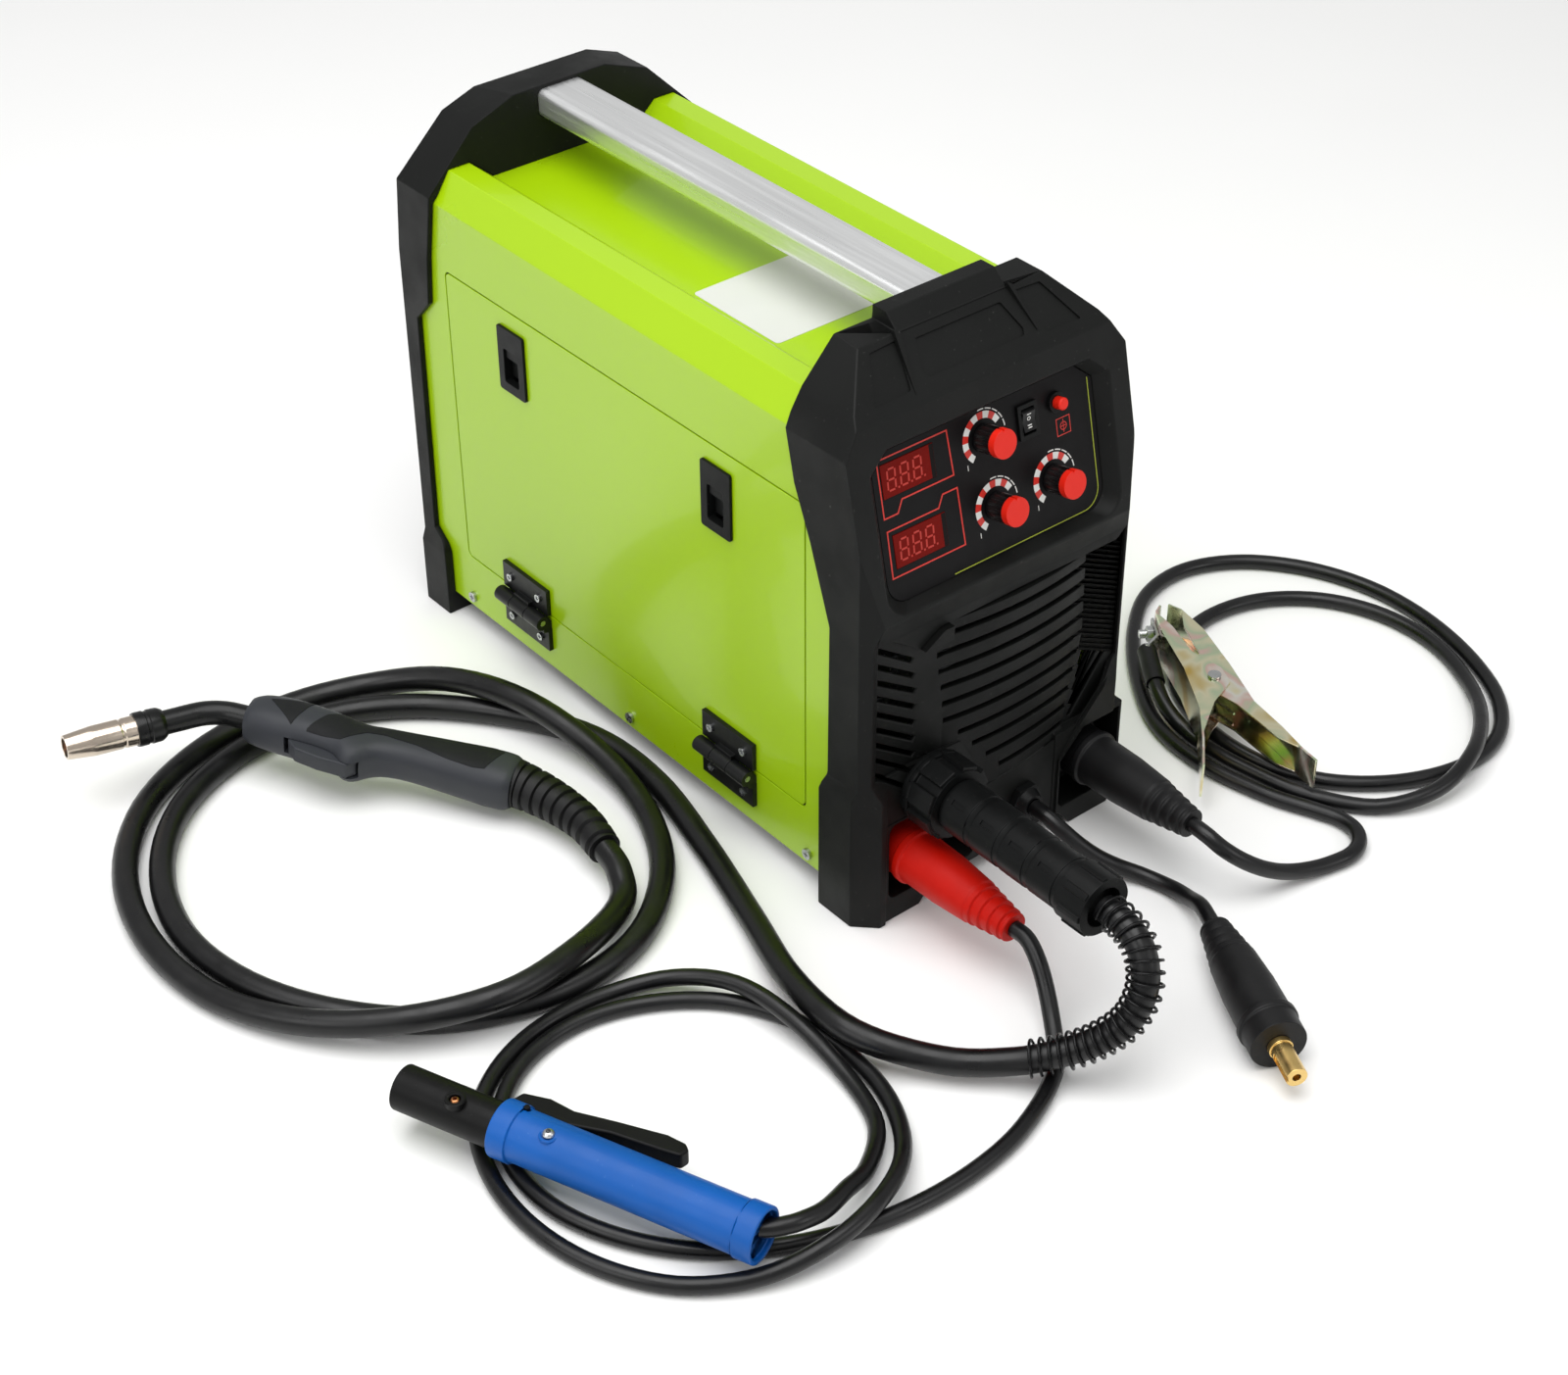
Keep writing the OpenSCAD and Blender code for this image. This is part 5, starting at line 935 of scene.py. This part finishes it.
# ---- The carrying bar: extruded aluminium, brushed along its length ----
# The die leaves fine lines along the bar, and handling dulls them.
bar_metal = coat("drawn_aluminium", "eceded", 0.34, metal=0.85, tint=0.07, blotch=160, grain=0.22,
                 grain_size=420, along=(1, 0.03, 1), uneven=0.10)
broken_edges("carry_handle", 0.4, "handle_aluminium", bar_metal, name="carrying_bar")


# ---- The control panel: a printed film on the sunk plate ----
# Black film with red frames round the meters, a dial scale round each knob, a thin yellow-green line
# along two sides, and plain numbers. All print is a 0.12 mm layer of ink on the film.
film_black = coat("black_panel_film", "0f0e0f", 0.45, tint=0.06, blotch=40, grain=0.1, grain_size=1500,
                  shine=0.12)
ink_red = coat("red_ink", "c8281c", 0.45, tint=0.05, blotch=60)
ink_white = coat("white_ink", "dcdcd8", 0.5, tint=0.04, blotch=60)
ink_lime = coat("lime_ink", "9aa526", 0.5, tint=0.04, blotch=60)
broken_edges("control_panel", 0.2, "panel_face", film_black, name="panel_film")


def stroke(points, wide, closed=False):
    # A line of even width with mitred corners, as quads.
    p = [Vector(q) for q in points]
    n = len(p)
    left, right = [], []
    for i in range(n):
        a = p[i - 1] if (i or closed) else p[i]
        c = p[(i + 1) % n] if (i < n - 1 or closed) else p[i]
        d1 = (p[i] - a).normalized() if (p[i] - a).length else (c - p[i]).normalized()
        d2 = (c - p[i]).normalized() if (c - p[i]).length else d1
        mid = (d1 + d2).normalized()
        k = wide / 2 / max(0.4, mid.dot(d1))
        side = Vector((-mid.y, mid.x))
        left.append(p[i] + side * k)
        right.append(p[i] - side * k)
    spans = n if closed else n - 1
    return [[left[i], right[i], right[(i + 1) % n], left[(i + 1) % n]] for i in range(spans)]


frame_upper = [(-79.6, -11.2), (-27.9, -11.2), (-26.6, -38.8), (-65.4, -38.8), (-69.5, -46), (-79.6, -46)]
frame_lower = [(-79.4, -82.6), (-78.9, -54), (-40.5, -54), (-36.4, -47), (-25.4, -47), (-24.6, -82.6)]
printed("meter_frames", stroke(frame_upper, 0.9, True) + stroke(frame_lower, 0.9, True), ink_red)
corner = [(68 + 12.5 * sin(radians(a)), -84.7 - 12.5 * cos(radians(a)))
          for a in range(0, 91, 10)]
printed("edge_line", stroke([(-35, -97.2)] + corner + [(80.5, -17)], 0.6), ink_lime)
off_slope = slope.inverted()
knobs = {"speed": (-2, -25), "current": (1.2, -68), "arc": (46.5, -68)}


def sector(at, r0, r1, a0, a1, steps=4):
    turn = [radians(a0 + (a1 - a0) * i / steps) for i in range(steps + 1)]
    return ([(at[0] + r1 * cos(t), at[1] + r1 * sin(t)) for t in turn]
            + [(at[0] + r0 * cos(t), at[1] + r0 * sin(t)) for t in reversed(turn)])


reds, whites = [], []
for x, y in knobs.values():
    for i in range(11):
        (reds if i % 2 else whites).append(sector((x, y), 11.4, 15.5, 232 - 18.6 * i, 232 - 18.6 * (i + 1)))
    for i in range(5):
        whites.append(sector((x, y), 16.6, 17.3, 96 - 19 * i, 96 - 19 * i - 15))
printed("dial_scales_red", reds, ink_red)
printed("dial_scales_white", whites, ink_white)

# The sign over the test button: a box round a ring and a cross.
bx, by = 58.8, -39.6
sign = stroke([(bx + 5.2 * x, by + 5.2 * y) for x, y in ((-1, -1), (1, -1), (1, 1), (-1, 1))], 0.5, True)
sign += stroke([(bx + 2.4 * cos(a * pi / 8), by + 2.4 * sin(a * pi / 8))
                for a in range(16)], 0.45, True)
sign += stroke([(bx, by - 4), (bx, by + 4)], 0.4) + stroke([(bx - 2.4, by), (bx + 2.4, by)], 0.4)
printed("wire_test_sign", sign, ink_red)


def numeral(name, words, at, size, finish):
    curve = bpy.data.curves.new(name, "FONT")
    curve.body, curve.size, curve.extrude = words, size / 1000, 0.00006
    curve.align_x = curve.align_y = "CENTER"
    curve.resolution_u = 3
    text = linked(name, curve)
    mesh = as_mesh(text)
    bpy.data.objects.remove(text)
    mesh.transform(slope @ Matrix.Translation(Vector((at[0], at[1], face_level + 0.06)) / 1000))
    mesh.materials.clear()
    mesh.materials.append(finish)
    part_of("machine", linked(name, mesh), "panel_face")


for name, (x, y) in knobs.items():
    numeral("%s_scale_1" % name, "1", (x - 13.6, y - 14.2), 4.6, ink_white)
    numeral("%s_scale_10" % name, "10", (x + 16.5, y - 12.6), 4.2, ink_white)


# ---- The two meters: dark red windows with three unlit figures each ----
# A tinted acrylic block over the figures; the seven strokes of each figure just show through.
red_glass = coat("red_window", "6c0d06", 0.2, tint=0.05, blotch=20, grain=0.01, shine=0.06)
dim_stroke = coat("unlit_figures", "b0210e", 0.4, tint=0.05, blotch=60)
dark_glass = coat("dark_window", "120d0c", 0.2, tint=0.05, grain=0.01, shine=0.08)
broken_edges("meter_displays", 0.2, "red_window", red_glass, name="meter_windows")
figures, dots = [], []
for wx, wy in ((-58.5, -24.7), (-56.2, -67.7)):
    for k in range(3):
        cx, cy, w, h = wx - 12.4 + 9.6 * k, wy, 5.6, 12.6
        for x0, y0, x1, y1 in ((-1, 1, 1, 1), (-1, 0, 1, 0), (-1, -1, 1, -1), (-1, 1, -1, 0), (1, 1, 1, 0),
                               (-1, 0, -1, -1), (1, 0, 1, -1)):
            x0, y0, x1, y1 = x0 * w / 2, y0 * h / 2, x1 * w / 2, y1 * h / 2
            a, b = Vector((cx + x0 + 0.06 * y0, cy + y0)), Vector((cx + x1 + 0.06 * y1, cy + y1))
            d = (b - a).normalized() * 0.75
            figures += stroke([a + d, b - d], 1.15)
        figures.append([(cx + w / 2 + 1.2, cy - h / 2 - 0.6), (cx + w / 2 + 2.4, cy - h / 2 - 0.6),
                        (cx + w / 2 + 2.4, cy - h / 2 + 0.6), (cx + w / 2 + 1.2, cy - h / 2 + 0.6)])
    dots.append([(wx + 16.4, wy - 10), (wx + 19.3, wy - 10), (wx + 19.3, wy + 10), (wx + 16.4, wy + 10)])
printed("meter_figures", figures, dim_stroke, level=face_level + 0.3, thick=0.05, slot="red_window")
printed("meter_blinds", dots, dark_glass, level=face_level + 0.3, thick=0.06, slot="red_window")


# ---- Knobs, rocker and button on the panel ----
# Black knobs with fine grip flutes and a red cap, a black rocker with white marks, a red button.
knob_black = coat("knob_black", "0b0b0c", 0.33, blotch=60, grain_size=1500, shine=0.3)
cap_red = coat("cap_red", "d8200f", 0.42, tint=0.03, blotch=60, grain=0.06, grain_size=1500, shine=0.3)
cap_from = 0.00585
for node in ("speed_knob", "current_knob", "arc_knob"):
    broken_edges(node, 0.25, "knob_black", knob_black, cap_red, name=node + "_turned",
                 look=lambda at, _: int((off_slope @ (at / 1000)).z > cap_from))
broken_edges("switch_frames", 0.35, "black_plastic", nylon, name="switch_bezels")
broken_edges("mode_rocker", 0.5, "knob_black", knob_black, steps=3, name="mode_rocker_cap")
for name, tilt, marks in (("rocker_marks_up", 12.8, [[(-1.5, 4.9), (1.5, 4.9)]]),
                          ("rocker_marks_down", -12.8, [[(-1.5, -2.9), (1.5, -2.9)],
                                                        [(-1.5, -4.3), (1.5, -4.3)]])):
    lines = [quad for mark in marks for quad in stroke(mark, 0.55)]
    if tilt > 0:
        lines += stroke([(1.1 * cos(a * pi / 8), 2.0 + 1.1 * sin(a * pi / 8))
                         for a in range(16)], 0.45, True)
    printed(name, lines, ink_white, body="mode_switch", level=1.755, slot="knob_black",
            place=slope @ Matrix.Translation((0.0315, -0.0265, face_level / 1000))
            @ Matrix.Rotation(radians(tilt), 4, "X"))
broken_edges("purge_button", 0.8, "red_plastic", cap_red, steps=3, name="test_button_cap")
broken_edges("power_rocker", 0.6, "knob_black", knob_black, steps=3, name="power_rocker_cap")


# ---- Sockets, glands and the gas inlet ----
# The lead sockets are brass in black collars; the torch socket and the glands are nylon.
collar_black = coat("socket_collar", "0b0b0b", 0.4, tint=0.1, blotch=50, grain=0.1, grain_size=1400)
broken_edges("torch_socket", 0.5, "black_plastic", nylon, name="torch_socket_ring")
broken_edges("lead_sockets", 0.4, "brass", brass, collar_black, name="lead_socket_rings",
             look=lambda at, way: int(at.y < -217.8 and (way.y < -0.5 or min(
                 hypot(at.x - x, at.z - z) for x, _, z in (holder_route[0], ground_route[0])) > 8)))
broken_edges("cable_glands", 0.4, "black_plastic", nylon, name="glands")
broken_edges("gas_inlet", 0.3, "brass", brass, name="gas_hose_tail")


# ---- Hinges, latches and screws of the door and case ----
# Black zinc castings on the door side: two three-knuckle hinges and two slam latches.
black_zinc = coat("black_hinge_coat", "0d0e0e", 0.38, tint=0.12, blotch=60, grain=0.15, grain_size=1500,
                  shine=0.3)
for node, edge, slot, finish, name in (
        ("hinge_case_leaves", 0.4, "black_steel", black_zinc, "hinge_leaves_case"),
        ("hinge_door_leaves", 0.4, "black_steel", black_zinc, "hinge_leaves_door"),
        ("hinge_pins", 0.2, "bright_steel", screw_steel, "hinge_pin_rods"),
        ("latch_housings", 0.5, "black_plastic", nylon, "latch_frames"),
        ("latch_slider_front", 0.4, "black_plastic", nylon, "front_latch_bolt"),
        ("latch_slider_rear", 0.4, "black_plastic", nylon, "rear_latch_bolt"),
        ("case_screws", 0.15, "black_steel", screw_steel, "cover_screws"),
        ("door_screws", 0.15, "black_steel", screw_steel, "hinge_screws")):
    broken_edges(node, edge, slot, finish, name=name)


# ---- The bare plate on the tray, under the carrying bar ----
# A plain white film plate, with nothing on it, stuck down on the paint.
plate_film = coat("plain_plate_film", "cfd0cc", 0.4, tint=0.02, blotch=20, grain=0.03, gloss=0.2)
plate = [(x + 3 * cos(radians(a + 15 * k)), y + 3 * sin(radians(a + 15 * k)))
         for x, y, a in ((18, -20, 0), (-52, -20, 90), (-52, -93, 180), (18, -93, 270)) for k in range(7)]
printed("tray_plate", [plate], plate_film, level=0, place=Matrix.Translation((0, 0, 0.326)), thick=0.25)


# ---- Inside: partition, wire feed, spool, boards and fan ----
# Behind the door are the wire spool on its hub, the motor and its rolls; beyond the partition the
# boards, the heat sinks and the fan.
zinc_sheet = coat("zinc_coated_sheet", "a7aaac", 0.38, metal=0.9)
cast_alloy = coat("cast_alloy", "9b9d9f", 0.45, metal=0.85, blotch=50, grain=0.3)
hub_grey = coat("hub_plastic", "2a2b2c", 0.5, blotch=40, grain=0.1)
spool_plastic = coat("spool_plastic", "55585b", 0.45, tint=0.06, blotch=40, grain=0.1)
board_lacquer = coat("board_lacquer", "1d5b34", 0.4, tint=0.1, blotch=60, grain=0.1)
roll_steel = coat("hardened_roll", "aeb0b2", 0.25, metal=1.0, tint=0.06, blotch=60)
for node, edge, slot, finish in (
        ("inner_plate", 0.3, "case_steel", zinc_sheet),
        ("feed_motor", 0.5, "cast_aluminium", cast_alloy),
        ("spool_hub", 0.5, "black_plastic", hub_grey),
        ("power_board", 0.3, "board_green", board_lacquer),
        ("fan_frame", 0.4, "black_plastic", hub_grey),
        ("fan_rotor", 0.3, "black_plastic", hub_grey),
        ("drive_roll", 0.3, "bright_steel", roll_steel),
        ("pressure_arm", 0.5, "cast_aluminium", cast_alloy),
        ("tension_knob", 0.4, "black_plastic", nylon),
        ("wire_spool", 0.6, "spool_grey", spool_plastic),
        ("spool_nut", 0.6, "black_plastic", nylon)):
    broken_edges(node, edge, slot, finish, name=node + "_part")

bpy.data.objects.remove(head_shape)
json.dump({"solids": [list(v) for v in solid_box], "dressed": [list(v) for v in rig.bounds()]},
          open("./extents.json", "w"))
